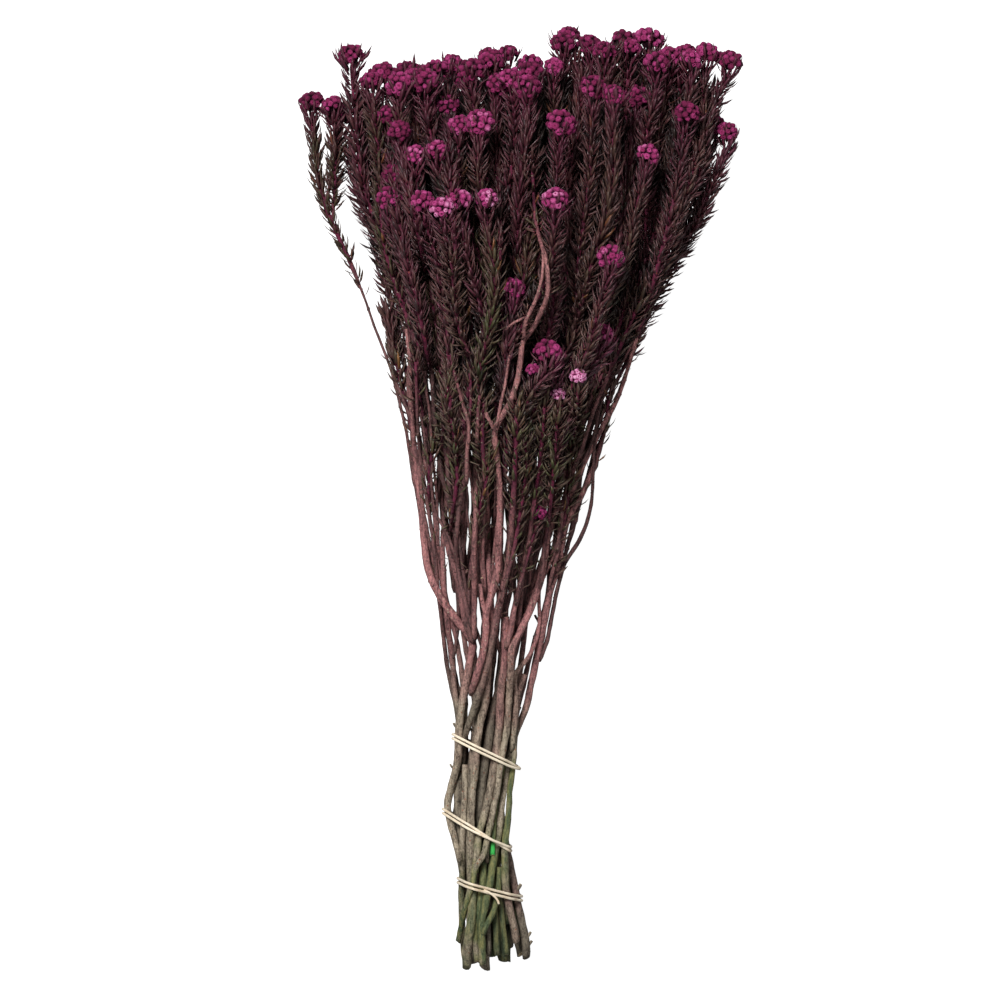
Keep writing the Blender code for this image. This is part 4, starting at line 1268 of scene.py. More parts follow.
# Stems and twigs that lie on the front of the bunch, each resting on what lies beneath it: radii
# spread evenly along the stem, tone of its bark, what it has besides, and x, y of its course in mm
# from the lower end up. "leaf" is where leaves begin, "head" a flower's size and tone, "green" how
# far the green dye has crept in, "dye" how much higher or lower the mauve one reaches.
frontStems = (
    ((2.1, 1.9, 1.7), 0.4, {"dye": 90, "green": 0.05,
     "knots": ((-218, 0.4, 1.3), (-245, 0.3, 1.1), (-250, 0.1, 1.0))},
     2, -255.4, 1.5, -246, -0.5, -232.4, -3.9, -215.6, -6.5, -203, -9, -191, -11, -180),
    ((1.8, 1.6), 0.5, {"green": 0.95}, -14, -252.5, -14.6, -240, -15.2, -228, -15.5, -214, -14.8, -203),
    ((1.5, 1.4), 0.3, {"green": 0.2, "dye": 60}, -18.2, -252, -18.6, -238, -18.4, -224, -17.6, -212),
    ((1.5, 1.5, 1.3), 0.6, {"green": 1.0}, -23, -258, -24.6, -249, -25.4, -239, -25.2, -226, -24.4, -214),
    ((1.5, 1.6, 1.4), 0.55, {"green": 1.0}, -8.9, -253.2, -9.6, -246, -11.2, -235, -12.4, -225, -12.8, -212,
     -11.8, -200),
    ((1.9, 1.9, 1.6), 0.9, {"green": 0.75}, -25, -256.5, -26.2, -248, -25.8, -233, -24.4, -226, -22.2, -215,
     -20.8, -202, -19.4, -190, -18.2, -178),
    ((1.9, 2.1, 1.7, 2.0, 1.9, 1.5, 1.0), 0.85, {"green": 0.95, "leaf": 30}, -21.8, -257.6, -22.6, -246,
     -23, -235, -20.8, -224, -18.2, -212, -15.4, -199, -12.9, -186, -11.2, -168, -9.4, -157, -8.4, -147,
     -6.6, -138, -3.6, -129, 1, -119.6, 5.9, -100, 10.1, -79, 14.3, -54, 20, -34, 25, -13, 33.8, 5,
     41.3, 24, 46, 44, 49, 66),
    ((1.5, 1.6), 0.8, {"green": 0.95}, -22.3, -241, -19.8, -236, -16.2, -229.6, -13.8, -222, -12.6, -211,
     -11.8, -198),
    ((1.2, 1.2), 0.8, {"green": 0.0, "dye": 90}, -19.6, -200.4, -19, -190, -17.8, -178, -16.4, -166),
    ((1.3, 1.4), 0.8, {"green": (2.0, 1.25, 0.95, 0.9, 0.9, 0.7, 0.4)}, -16.3, -197.2, -15.9, -188,
     -15, -176, -13.6, -164, -12, -154, -10.4, -142),
    ((2.0, 2.1, 1.6, 1.5, 1.5), 0.85, {"dye": (110, 90, 0, 0, 0, 0, 0),
     "green": (0, 0, 0.7, 0.95, 0.8, 0.5, 0, 0)},
     -3.9, -246, -4.3, -239, -6.6, -228, -8.8, -215, -9.4, -203, -9.4, -190, -8.2, -176, -7.4, -163,
     -5.6, -151, -4.4, -141, -3.7, -128, -2.6, -117, -0.6, -102, 3.4, -92),
    ((1.6, 1.7, 1.7, 1.6), 0.95, {"green": 0.4}, -31.9, -260.4, -33, -251, -33.6, -235, -33.3, -215,
     -33.3, -190, -32.6, -168, -31.8, -152, -31.4, -142.3),
    ((2.5, 2.3, 2.1, 2.0, 1.5, 1.2, 0.9), 0.9, {"green": 0.45, "leaf": 8}, -30.5, -260, -30.2, -249,
     -28.6, -232, -28.4, -216, -28.6, -190, -27.8, -167, -26.5, -150, -26, -138, -23.4, -123, -20.7, -112,
     -18.8, -95, -17.5, -75, -17.6, -55, -19.3, -33, -18.6, -10, -20.4, 12.5, -22.3, 35, -21, 60),
    ((1.9, 2.2, 2.1, 2.1), 0.9, {"dye": 22, "green": 0.9}, -26.4, -207, -25, -197, -23.4, -185, -20.6, -174,
     -17.9, -161, -15.4, -143, -13, -126, -11.4, -105, -9.3, -87, -9.4, -74, -9.9, -60.3),
    ((1.7, 1.2, 0.9), 0.75, {"leaf": -14}, -9, -82, -6.7, -72.6, -5.3, -61.4, -1.8, -47, 1, -33.3, 4, -20,
     6.7, -2, 9, 18, 10.5, 38, 12, 58),
    ((1.6, 1.5, 1.2, 0.8), 0.95, {}, -6.4, -140, -4.8, -128, -3.6, -112, -2.5, -95, 3, -88, 7.3, -79,
     9.4, -68.4, 8.8, -55, 10, -40),
    ((1.6, 1.6, 1.7, 1.9, 2.1, 1.7, 1.3, 0.9), 1.0, {"green": 0.7, "dye": -6}, -35.4, -246.5, -34, -240,
     -32.8, -231, -30.3, -220, -28, -212.5, -26.6, -204, -22.6, -198, -19.6, -187.5, -16.4, -174.5,
     -13.6, -161, -11.7, -145, -9.4, -131, -8, -113, -6.4, -95, -4.8, -80, -0.4, -72, 4.5, -61, 9.3, -46,
     12, -30, 16, -11, 26, 3, 34, 19.5, 43, 38, 52.5, 57, 60, 78, 65, 94),
    ((1.7, 2.3, 2.2, 1.7, 1.4, 0.9), 0.6, {"leaf": -8}, -33.4, -139, -31, -129, -26.5, -114, -22.6, -100,
     -18.6, -86, -16, -73, -12.6, -58, -9, -42, -7, -25, -6, -8, -4.6, 12, -3, 32, -4, 58),
    ((1.1, 0.7), 0.4, {"leaf": -42, "head": (0.55, 0.55)}, -4, -58, -1, -46, 3.4, -31, 7, -17, 9, -8),
    ((1.2, 0.7), 0.5, {"leaf": -24, "head": (0.5, 0.8)}, 14, -52, 19, -30, 24, -5, 27.4, 20, 28.3, 40),
    ((1.2, 0.7), 0.5, {"leaf": -20, "head": (0.55, 1.2)}, 10, -50, 12, -30, 15, -2, 18, 26, 19.5, 57),
    ((1.2, 0.7), 0.5, {"leaf": 0, "head": (0.6, 1.1)}, 19, -30, 23, -2, 27, 28, 29.4, 52, 30, 66),
    ((1.2, 0.8), 0.4, {"leaf": -30}, -30, -60, -29, -40, -25, -14, -20, 8, -17, 30, -18, 48),
    ((1.2, 0.8), 0.4, {"leaf": -22}, -38, -52, -40, -30, -38, -8, -36, 14, -38, 36, -43, 58),
    ((1.1, 0.8), 0.4, {"leaf": -12}, -42, -60, -47, -34, -52, -8, -51, 16, -48, 38, -49, 56),
    ((1.2, 0.8), 0.5, {"leaf": -36}, -14, -66, -10, -46, -4, -24, 0, -2, 2, 22, 0, 40),
    ((1.3, 1.2, 1.0, 0.8), 0.35, {"leaf": 52}, -34.6, -130, -36, -119, -41, -97, -45.4, -66, -47, -45,
     -49.4, -21, -54, 5, -57, 26, -57.6, 46, -57.8, 64, -59, 84),
    ((1.6, 1.7, 1.2, 0.8), 0.7, {"leaf": 28}, -34.4, -122, -37, -107, -38.4, -92, -41.6, -71, -43.4, -53,
     -44, -36, -43.2, -15, -41.5, 6, -41, 26, -40, 48, -38, 68),
    ((1.0, 1.1, 0.8), 0.25, {}, -38.6, -88, -36.4, -72, -35.6, -55, -36.4, -40, -38, -25),
    ((1.6, 2.2, 2.2, 2.1, 1.9, 1.2, 0.8), 1.0, {"dye": 8, "green": 0.0,
     "knots": ((-77.5, 1.5, 2.0), (-79, 0.2, 1.2), (-128, 2.9, 1.0), (-151, 2.8, 0.8))},
     -34.4, -200, -37, -189, -40, -178.5, -41.6, -171, -39.4, -160, -37, -149, -35.8, -134, -34.4, -119,
     -31.6, -105, -28.8, -91, -27.7, -79, -30.4, -74.6, -36.9, -67, -43.9, -57, -49.4, -47, -52.4, -38,
     -54.3, -20, -56, -2, -58.8, 16, -60.6, 35, -61.2, 54, -61.4, 74, -64.4, 98),
    ((1.7, 1.5, 1.1, 0.8), 0.5, {"leaf": 22}, -27.6, -79, -30.4, -71, -32.8, -61, -35.2, -46, -38.6, -35,
     -43, -20, -45.4, 4, -44.6, 18, -43.4, 36, -41, 60, -40, 76),
    ((1.4, 1.2, 0.8), 0.3, {"leaf": 38}, -28, -72, -31.4, -58, -34.6, -42, -36.2, -22, -34.5, -3, -31.7, 16,
     -29.8, 35, -28, 54, -28.6, 74),
    ((1.6, 1.6, 1.2, 0.8), 0.8, {"leaf": 44}, -26.4, -78, -26.2, -65, -26.4, -50, -27, -31, -26, -3,
     -25, 27, -24.2, 48, -23, 68),
    ((2.2, 2.2, 1.8, 1.6, 1.2, 0.8), 1.0, {"dye": 30, "leaf": 143}, -28.6, -108, -25.6, -96, -22.8, -86,
     -20.8, -75, -19.8, -62, -17, -53, -14, -42, -12.8, -26, -12.8, -11, -13.1, 9.6, -14.2, 23.6,
     -14.7, 37.7, -10, 46, -6.4, 53, -3.6, 61.5, -1.6, 75, 0.5, 87.5, 4.7, 93, 9.4, 101.5, 13.1, 110,
     13.8, 119, 13.1, 128, 10, 139, 7.4, 150, 6, 162, 5, 176, 4.4, 190),
    ((1.5, 0.9), 1.0, {"dye": 30}, -20.3, -64, -22.4, -56, -23.9, -44.5, -24.6, -41),
    ((1.2, 1.2, 0.7), 0.2, {}, 9.6, -90, 14.3, -78, 16.6, -67, 19.2, -51, 23, -36, 31.9, -21, 38.5, -2,
     39.6, 16, 40, 31, 42.4, 45),
    ((1.0, 0.6), 0.2, {}, 30, 12, 38, 31, 42.4, 50, 46, 64, 50.6, 78, 52.4, 92),
    ((0.9, 0.6), 0.3, {}, -37, -31, -41, -19, -48, -7, -50.6, 10, -50, 24),
    ((1.2, 0.7), 1.0, {}, 0.5, 87.5, 1.2, 96.6, 3.8, 102, 7.4, 110, 9.6, 118, 10.6, 128, 10.4, 138),
    ((0.8, 0.5), 1.0, {}, 1.0, 99.0, -5.5, 95.5, -12.2, 88.9),
    ((1.1, 0.6), 0.9, {}, -14.2, 40, -12.9, 46, -11.7, 53.8, -9.6, 64, -8.6, 74, -6.5, 83),
    ((1.2, 0.8), 0.9, {}, -14.6, 37, -17, 41, -19.8, 46, -21.6, 52),
    ((1.1, 0.6), 0.3, {}, -62, 44, -66.5, 56, -70.1, 66, -71.9, 79, -70.1, 92, -71.5, 103),
    ((1.3, 0.8), 0.7, {"leaf": 60}, -31, 8, -30.4, 24, -29, 40, -33.5, 56, -38, 72, -41, 84),
    ((1.2, 1.0), 0.4, {"leaf": 60, "tone": 0.7, "head": (0.85, 0.25)}, -50, 70, -56, 98, -62, 124, -67, 152,
     -71, 176),
    ((1.2, 1.0), 0.4, {"leaf": 90, "tone": 0.7, "head": (0.8, 0.3)}, -47, 96, -53, 124, -59, 152, -64, 178,
     -66.5, 200),
    ((1.2, 1.0), 0.4, {"leaf": 110, "tone": 0.7, "head": (0.82, 0.3)}, -58, 120, -64, 148, -70, 176,
     -73, 196, -74, 209),
    ((1.2, 1.0), 0.4, {"leaf": 100, "tone": 0.7, "head": (0.9, 0.3)}, 70, 110, 76, 136, 82, 162, 87, 188,
     90, 210),
    ((1.2, 1.0), 0.4, {"leaf": 110, "tone": 0.7, "head": (0.9, 0.3)}, 48, 120, 53, 146, 57, 172, 61, 198,
     64, 222),
    ((1.2, 1.0), 0.4, {"leaf": 110, "tone": 0.7, "head": (0.85, 0.35)}, -36, 130, -38, 154, -40, 178,
     -41, 202, -41, 216),
    ((1.2, 1.0), 0.4, {"leaf": 110, "tone": 0.6, "head": (0.88, 0.4)}, -12, 130, -13, 158, -14, 186,
     -14, 212, -13, 226),
)


class Heights:
    # Top of what lies at each (x, y), raised as more stems are laid.

    def __init__(self):
        self.low, self.size = np.array((-130.0, -280.0)), (520, 280)    # cells of 0.5 by 2 mm
        self.top = np.zeros(self.size)
        for k in range(self.size[1]):
            depth, lift = formAt(self.low[1] + 2 * k)[2:]
            self.top[:, k] = lift + 0.8 * depth

    def cells(self, x, y):
        column = np.clip((x - self.low[0]) / 0.5, 0, self.size[0] - 1).astype(int)
        return column, np.clip((y - self.low[1]) / 2, 0, self.size[1] - 1).astype(int)

    def add(self, line, radii):
        for step in np.arange(-8.0, 8.5, 0.5):
            chosen = np.abs(step) <= radii
            x, y = self.cells(line[chosen, 0] + step, line[chosen, 1])
            np.maximum.at(self.top, (x, y), line[chosen, 2] + np.sqrt(radii[chosen] ** 2 - step**2))

    def rest(self, flat, radii):
        # Height of a round stem's middle where it rests on what lies beneath.
        z = np.zeros(len(flat))
        for share in (-0.75, -0.4, 0.0, 0.4, 0.75):
            x, y = self.cells(flat[:, 0] + share * radii, flat[:, 1])
            z = np.maximum(z, self.top[x, y] + radii * math.sqrt(1 - share**2))
        return z


frontLook = {
    "sink": 0.7,             # mm that a stem lies sunk in
    "stray": 0.6,            # size of its waves
    "dip": 2.5,              # mm by which a stem that comes from below starts lower
    "reach": 6, "even": 12,  # steps of its line that it bridges, and over which it is evened out
    "footBelow": -195,       # a stem that starts below this height has a cut end of its own
    "large": 0.7,            # heads above this size sit in a cup of leaves
    "rises": (1.5, 5.0),     # mm by which small and large heads stand above their stems
}


def layStems(lines, heights):
    for i, line in enumerate(lines):
        high = line[:, 1] > strands[i]["leaf"] + 10
        heights.add(line, np.where(high, shootRadius * 0.72, woodThickness(i, line[:, 1])))
    made, reach, even = [], frontLook["reach"], frontLook["even"]
    for number, (sizes, barkTone, stem, *course) in enumerate(frontStems):
        route = np.array(course, float).reshape(-1, 2)
        run = runAlong(route)
        at = np.arange(0, run[-1], wander["step"])
        flat = smoothed(run, route, at)
        flat = strayed(flat, at, frontLook["stray"], np.random.default_rng(number + 60))
        given = {"radii": sizes, "dye": stem.get("dye", 0.0), "green": stem.get("green", 0.0)}
        spread = {key: np.interp(at, np.linspace(0, at[-1], np.size(own)), np.atleast_1d(own))
                  for key, own in given.items()}
        radii = spread["radii"]
        if np.isscalar(stem.get("green", 0.0)):
            spread["green"] *= between(*stemLook["greenHeights"], flat[:, 1])
        z = heights.rest(flat, radii)
        wide = np.array([z[max(0, k - reach):k + reach + 1].max() for k in range(len(z))])
        window = np.hanning(2 * even + 3)[1:-1]
        z = np.convolve(np.pad(wide, even, mode="edge"), window / window.sum(), "valid")
        line = np.column_stack((flat, z - frontLook["sink"]))
        if line[0, 1] > frontLook["footBelow"]:
            line[:8, 2] -= frontLook["dip"] * np.linspace(1, 0, 8)
        heights.add(line, radii)
        away = [np.hypot(*(placeAt(other, line[:, 1]) - line[:, [0, 2]]).T).mean() for other in lines]
        near = min((away[i], i) for i in range(len(lines)) if i in woodTubes)[1]
        size = stem.get("head", (0, 0))[0]
        large = size > frontLook["large"]
        made.append({
            **spread, "line": line, "sprig": strands[near]["sprig"], "leaf": stem.get("leaf", 1e4),
            "bare": True, "trunk": line[0, 1] < frontLook["footBelow"], "forks": [],
            "tone": stem.get("tone", 0.1), "head": large, "headSize": size, "bark": barkTone,
            "small": stem.get("head"), "rise": frontLook["rises"][large], "knots": stem.get("knots", ()),
            "straggle": 34.0, "cutTop": line[-1, 1] < -50 and "leaf" not in stem,
        })
    return made


stemLook = {
    "trunkSides": 11, "twigSides": 7,
    "tipRadius": 0.8,
    "trim": 0.84,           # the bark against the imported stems
    "slimming": 0.38,       # and how much slimmer it gets above the ties
    "knuckles": 0.09,       # how much thicker the wood is at its old leaf joints
    "knuckleGap": 17.0,     # mm between them
    "ridges": 0.075,        # height of the bark's ridges, as a share of the radius
    "collar": 0.2,          # swelling where a branch leaves
    "slants": (0.15, 0.75), # how obliquely the ends are cut
    "stubs": 3,             # broken side twigs on each sprig's first stem
    "scars": 34000.0,       # leaf scars for each square metre of bare twig
    # how far the green dye has crept into each sprig's foot
    "greenHeights": (-158, -215),    # between these it grows to its full strength
    "green": (0.0, 0.1, 0.35, 0.9, 0.15, 0.8, 0.3, 1.0, 0.2, 0.6, 0.1, 0.5, 0.9, 0.3, 0.7),
}


def stemShape(heap, shoot, random):
    # One shoot's wood, from its cut end or fork up through its leaves.
    whole, trunk, leaf = shoot["line"], shoot["trunk"], shoot["leaf"]
    kept = [k for k in range(len(whole) - 2) if k % (2 if whole[k, 1] < leaf else 6) == 0]
    line, radii = whole[kept], shoot["radii"][kept]
    y = line[:, 1]
    waves = np.sin(2 * math.pi * y / stemLook["knuckleGap"] + random.uniform(0, 6)) ** 6
    radii = radii * (1 + stemLook["knuckles"] * waves)
    for fork in shoot["forks"]:
        radii = radii * (1 + stemLook["collar"] * np.exp(-((y - fork - 5) / 8) ** 2))
    if not trunk:
        radii[0] *= 0.6
    elif "bark" in shoot:
        radii[0] *= 0.96
    sides = stemLook["trunkSides"] if trunk else stemLook["twigSides"]
    ridges = random.normal(0, stemLook["ridges"], (len(line), sides))
    ridges[1:] = 0.5 * ridges[1:] + 0.5 * ridges[:-1]
    ridges += random.normal(0, stemLook["ridges"], sides) * between(200, 0, y - y[0])[:, None]
    slant = (0.0, 0.0)
    if trunk:
        turn = random.uniform(0, 2 * math.pi)
        size = random.uniform(*stemLook["slants"])
        slant = (size * math.cos(turn), size * math.sin(turn))
    points, faces = closedTube(line, radii, sides, ridges, slant)
    leafy = np.clip((points[:, 1] - leaf + 12) / 30, 0, 1)
    tone = shoot.get("bark", random.uniform(0.15, 0.75))
    tone = tone * (1 - leafy) + 0.8 * leafy
    # painted shade: the bark's tone is darkened the deeper it lies inside the bunch, less so from -90 mm up
    innerShadeStrength = 0.94 - 0.6 * between(-90, -30, points[:, 1])
    tone = tone * (1 - innerShadeStrength * envelope.depth(points, 1.5 + 3.5 * leafy, 7 + 6 * leafy))
    foot = len(line) * sides
    cut, pith = np.zeros(len(points)), np.zeros(len(points))
    if trunk:
        cut[foot:foot + sides + 1] = 1
        pith[foot + sides] = 1
    if shoot.get("cutTop"):
        cut[-sides - 1:] = 1
        pith[-1] = 1
    green = stemLook["green"][shoot["sprig"]] * between(*stemLook["greenHeights"], points[:, 1])
    dye = 0.0
    if "bark" in shoot:
        green, dye = (np.interp(points[:, 1], whole[:, 1], shoot[key]) for key in ("green", "dye"))
    heap.add(points, faces, leafy=leafy, cutFace=cut, pith=pith, greenStain=green, barkTone=tone,
             dye=dye / 1000)


def stubShape(heap, line, radius, y, random, length, turn):
    # A broken side twig that leaves its stem at height y.
    start = np.array([np.interp(y, line[:, 1], line[:, axis]) for axis in (0, 1, 2)])
    out = np.array((math.cos(turn), 0.9, math.sin(turn)))
    bend = np.array((0.0, 0.35, 0.0))
    t = np.linspace(0, 1, 5)[:, None]
    own = start + length * (out * t + bend * t**2)
    radii = radius * np.array((1.3, 0.9, 0.8, 0.82, 0.7))
    sides = stemLook["twigSides"]
    points, faces = closedTube(own, radii, sides, random.normal(0, 0.08, (5, sides)))
    cut = np.zeros(len(points))
    cut[-1 - sides:] = 1
    heap.add(points, faces, cutFace=cut, barkTone=0.6)


def knobMesh(name, profile, sides, values, lobes=0.0, lobeCount=5):
    # A closed turned shape: profile gives (radius, height) rings between its two poles.
    points, faces = [(0.0, 0.0, profile[0][1])], []
    marks = {label: [own[0]] for label, own in values.items()}
    rings = profile[1:-1]
    for k, (radius, height) in enumerate(rings):
        for j in range(sides):
            turn = 2 * math.pi * (j + 0.5 * (k % 2)) / sides
            reach = radius * (1 + lobes * math.cos(lobeCount * turn))
            points.append((reach * math.cos(turn), reach * math.sin(turn), height))
            for label, own in values.items():
                marks[label].append(own[k + 1])
    points.append((0.0, 0.0, profile[-1][1]))
    for label, own in values.items():
        marks[label].append(own[-1])
    last = len(points) - 1
    for j in range(sides):
        nextJ = (j + 1) % sides
        faces.append((0, 1 + nextJ, 1 + j))
        for k in range(len(rings) - 1):
            a, b = 1 + k * sides, 1 + (k + 1) * sides
            faces.append((a + j, a + nextJ, b + nextJ, b + j))
        faces.append((last, last - sides + j, last - sides + nextJ))
    return newMesh(name, np.array(points) / 1000.0, [], faces, marks)


def prototypes(name, meshes):
    # A hidden collection of shapes that a geometry tree repeats.
    shelf = bpy.data.collections.new(name)
    for k, mesh in enumerate(meshes):
        shelf.objects.link(bpy.data.objects.new(f"{name}{k}", mesh))
    return shelf


def clearShelf(shelf):
    for one in list(shelf.objects):
        bpy.data.objects.remove(one)
    bpy.data.collections.remove(shelf)


def newTree(name, *inputs):
    # A geometry tree with named inputs, each (name, kind, value), and where it starts and ends.
    tree = bpy.data.node_groups.new(name, "GeometryNodeTree")
    tree.interface.new_socket("Geometry", in_out="INPUT", socket_type="NodeSocketGeometry")
    for label, kind, value in inputs:
        socket = tree.interface.new_socket(label, in_out="INPUT", socket_type=f"NodeSocket{kind}")
        if value is not None:
            socket.default_value = value
    tree.interface.new_socket("Geometry", in_out="OUTPUT", socket_type="NodeSocketGeometry")
    return tree, put(tree, "NodeGroupInput").outputs, put(tree, "NodeGroupOutput").inputs


def grow(mesh, tree, values, name):
    # Runs a geometry tree on a mesh and returns the result as a plain mesh.
    source = bpy.data.objects.new(name, mesh)
    bpy.context.scene.collection.objects.link(source)
    modifier = source.modifiers.new("grow", "NODES")
    modifier.node_group = tree
    for item in tree.interface.items_tree:
        if item.in_out == "INPUT" and item.name in values:
            modifier[item.identifier] = values[item.name]
    bpy.context.view_layer.update()
    evaluated = source.evaluated_get(bpy.context.evaluated_depsgraph_get())
    grown = bpy.data.meshes.new_from_object(evaluated)
    grown.name = name
    source.modifiers.remove(modifier)
    bpy.data.objects.remove(source)
    return grown


def dropValues(mesh, *labels):
    # Removes what only the geometry tree needed.
    for label in labels:
        if label in mesh.attributes:
            mesh.attributes.remove(mesh.attributes[label])


def addPiece(mesh, slot, *replaced):
    piece = bpy.data.objects.new(mesh.name, mesh)
    bpy.context.scene.collection.objects.link(piece)
    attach(piece, "root")
    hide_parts(*replaced)


def eachSprig(seed):
    for number in range(len(sprigs)):
        yield number, f"{number + 1:02d}", np.random.default_rng(seed + number)


def fieldOf(tree, name):
    return outOf(tree, "GeometryNodeInputNamedAttribute", {"Name": name}, data_type="FLOAT")


def anyOf(low, high, seed, stream=None):
    # A random number between low and high for each point; every stream has its own.
    own = add(seed, stream) if stream else seed
    node = put(treeOf(seed), "FunctionNodeRandomValue", {2: low, 3: high, "Seed": own}, data_type="FLOAT")
    return node.outputs[1]


def copied(points, shelf, size, seed=None, **plugs):
    # One shape of the shelf at each point, picked at random where there is a seed.
    tree = treeOf(points)
    shapes = outOf(tree, "GeometryNodeCollectionInfo", {0: shelf, 1: True, 2: True})
    plugs.update({"Points": points, "Instance": shapes, "Pick Instance": True,
                  "Scale": vector(tree, size, size, size)})
    if seed:
        pick = put(tree, "FunctionNodeRandomValue", {4: 0, 5: 2, "Seed": seed}, data_type="INT")
        plugs["Instance Index"] = pick.outputs[2]
    return outOf(tree, "GeometryNodeInstanceOnPoints", plugs)


def toned(copies, name, seed, stream):
    # Stores a random tone with each copy.
    plugs = {0: copies, "Name": name, "Value": anyOf(0.0, 1.0, seed, stream)}
    return outOf(treeOf(copies), "GeometryNodeStoreNamedAttribute", plugs,
                 data_type="FLOAT", domain="INSTANCE")


def joined(*parts):
    both = put(treeOf(*parts), "GeometryNodeJoinGeometry")
    for part in parts:
        both.id_data.links.new(part, both.inputs[0])
    return both.outputs[0]


def solidOf(copies):
    return outOf(treeOf(copies), "GeometryNodeRealizeInstances", {0: copies})


def finished(tree, shape, material, result):
    done = outOf(tree, "GeometryNodeSetMaterial", {0: shape, "Material": material})
    tree.links.new(done, result[0])
    return tree


def turned(rotation, axis, angle):
    # The rotation, turned about one of its own axes.
    tree = treeOf(rotation)
    by = outOf(tree, "FunctionNodeAxisAngleToRotation", {"Axis": axis, "Angle": angle})
    plugs = {"Rotation": rotation, "Rotate By": by}
    return outOf(tree, "FunctionNodeRotateRotation", plugs, rotation_space="LOCAL")


def scarTree():
    # Leaf scars: small bumps scattered over bare twigs.
    tree, given, result = newTree(
        "leafScars", ("Scar", "Collection", None), ("Density", "Float", 50000.0),
        ("Seed", "Int", 1), ("Material", "Material", None))
    density = times(given["Density"], fieldOf(tree, "bareTwig"))
    scatter = put(tree, "GeometryNodeDistributePointsOnFaces", {
        "Mesh": given["Geometry"], "Density": density, "Seed": given["Seed"]}, distribute_method="RANDOM")
    bumps = copied(scatter.outputs["Points"], given["Scar"], anyOf(0.6, 1.5, given["Seed"]),
                   Rotation=scatter.outputs["Rotation"])
    return finished(tree, joined(solidOf(bumps), given["Geometry"]), given["Material"], result)


def makeStems(shoots):
    scar = knobMesh("scar", ((0, -0.3), (0.66, 0.0), (0, 0.34)), 5, {"scarTop": (0, 0.3, 1)})
    shelf = prototypes("scarShelf", [scar])
    tree = scarTree()
    for number, label, random in eachSprig(500):
        heap = Heap("leafy", "cutFace", "pith", "greenStain", "barkTone", "dye")
        own = [shoot for shoot in shoots if shoot["sprig"] == number]
        for shoot in own:
            stemShape(heap, shoot, random)
            for y, turn, size in shoot.get("knots", ()):
                stubShape(heap, shoot["line"], size, y, random, 3.2, turn)
        for _ in range(stemLook["stubs"]):
            y = random.uniform(-190, -40)
            if random.random() < 0.75:
                stubShape(heap, own[0]["line"], 0.95, y, random, random.uniform(2.5, 6.0),
                          random.uniform(0, 2 * math.pi))
        mesh = heap.mesh("stem")
        count = len(mesh.vertices)
        place = np.empty(3 * count)
        mesh.vertices.foreach_get("co", place)
        y = place.reshape(-1, 3)[:, 1]
        leafy, cut = np.empty(count), np.empty(count)
        mesh.attributes["leafy"].data.foreach_get("value", leafy)
        mesh.attributes["cutFace"].data.foreach_get("value", cut)
        bare = between(frameY(-90), frameY(-20), y) * (1 - 0.7 * leafy) * (1 - cut) + 0.04
        mesh.attributes.new("bareTwig", "FLOAT", "POINT").data.foreach_set("value", bare)
        values = {"Scar": shelf, "Density": stemLook["scars"], "Seed": number, "Material": bark}
        grown = grow(mesh, tree, values, f"stemWood{label}")
        addPiece(grown, "bark", f"stem_{label}")
    clearShelf(shelf)
    print("stems grown")


leafLook = {
    "length": 9.8, "width": 2.0, "thickness": 0.36,
    "spacing": 0.38,                   # mm of shoot for each leaf
    "tiltLow": 64.0, "tilt": 58.0, "tiltHead": 54.0,   # degrees away from the shoot
    "cup": 4.4,                        # mm, how wide a shoot swells below its flower head
    "curls": (6.0, 5.0, 3.6),          # how far each kind of leaf bends back to the shoot, in mm
    "straggle": 16.0,                  # a few leaves grow this far below the others
    "thinning": 0.6,                   # share of the leaves that is left out deep in the bunch
    "tilts": (0.85, 1.2), "sizes": (0.88, 1.1),    # how much the shoots differ
    "divergence": 137.508,
}


def leafMesh(name, curl, twist):
    # A narrow closed leaf along +Z. Its lower side faces +X, away from the shoot.
    length, half, thick = leafLook["length"], leafLook["width"] / 2, leafLook["thickness"]
    points, marks = [(0.0, 0.0, 0.0)], [(0.0, 0.0)]
    for t, share in ((0.22, 0.9), (0.66, 0.95)):
        middle = -curl * t**2
        turn = twist * t
        for across, lift in ((-1, -0.35), (1, -0.35), (0, 1.0)):
            side = across * half * share
            out = lift * thick
            points.append((middle + out * math.cos(turn) - side * math.sin(turn),
                           side * math.cos(turn) + out * math.sin(turn), t * length))
            marks.append((abs(across), t))
    points.append((-curl, 0.0, length))
    marks.append((0.0, 1.0))
    faces = []
    for j in range(3):
        nextJ = (j + 1) % 3
        faces += [(0, 1 + j, 1 + nextJ), (1 + j, 4 + j, 4 + nextJ, 1 + nextJ), (7, 4 + nextJ, 4 + j)]
    across, lengthwise = zip(*marks)
    return newMesh(name, np.array(points) / 1000.0, [], faces, {"across": across, "lengthwise": lengthwise})


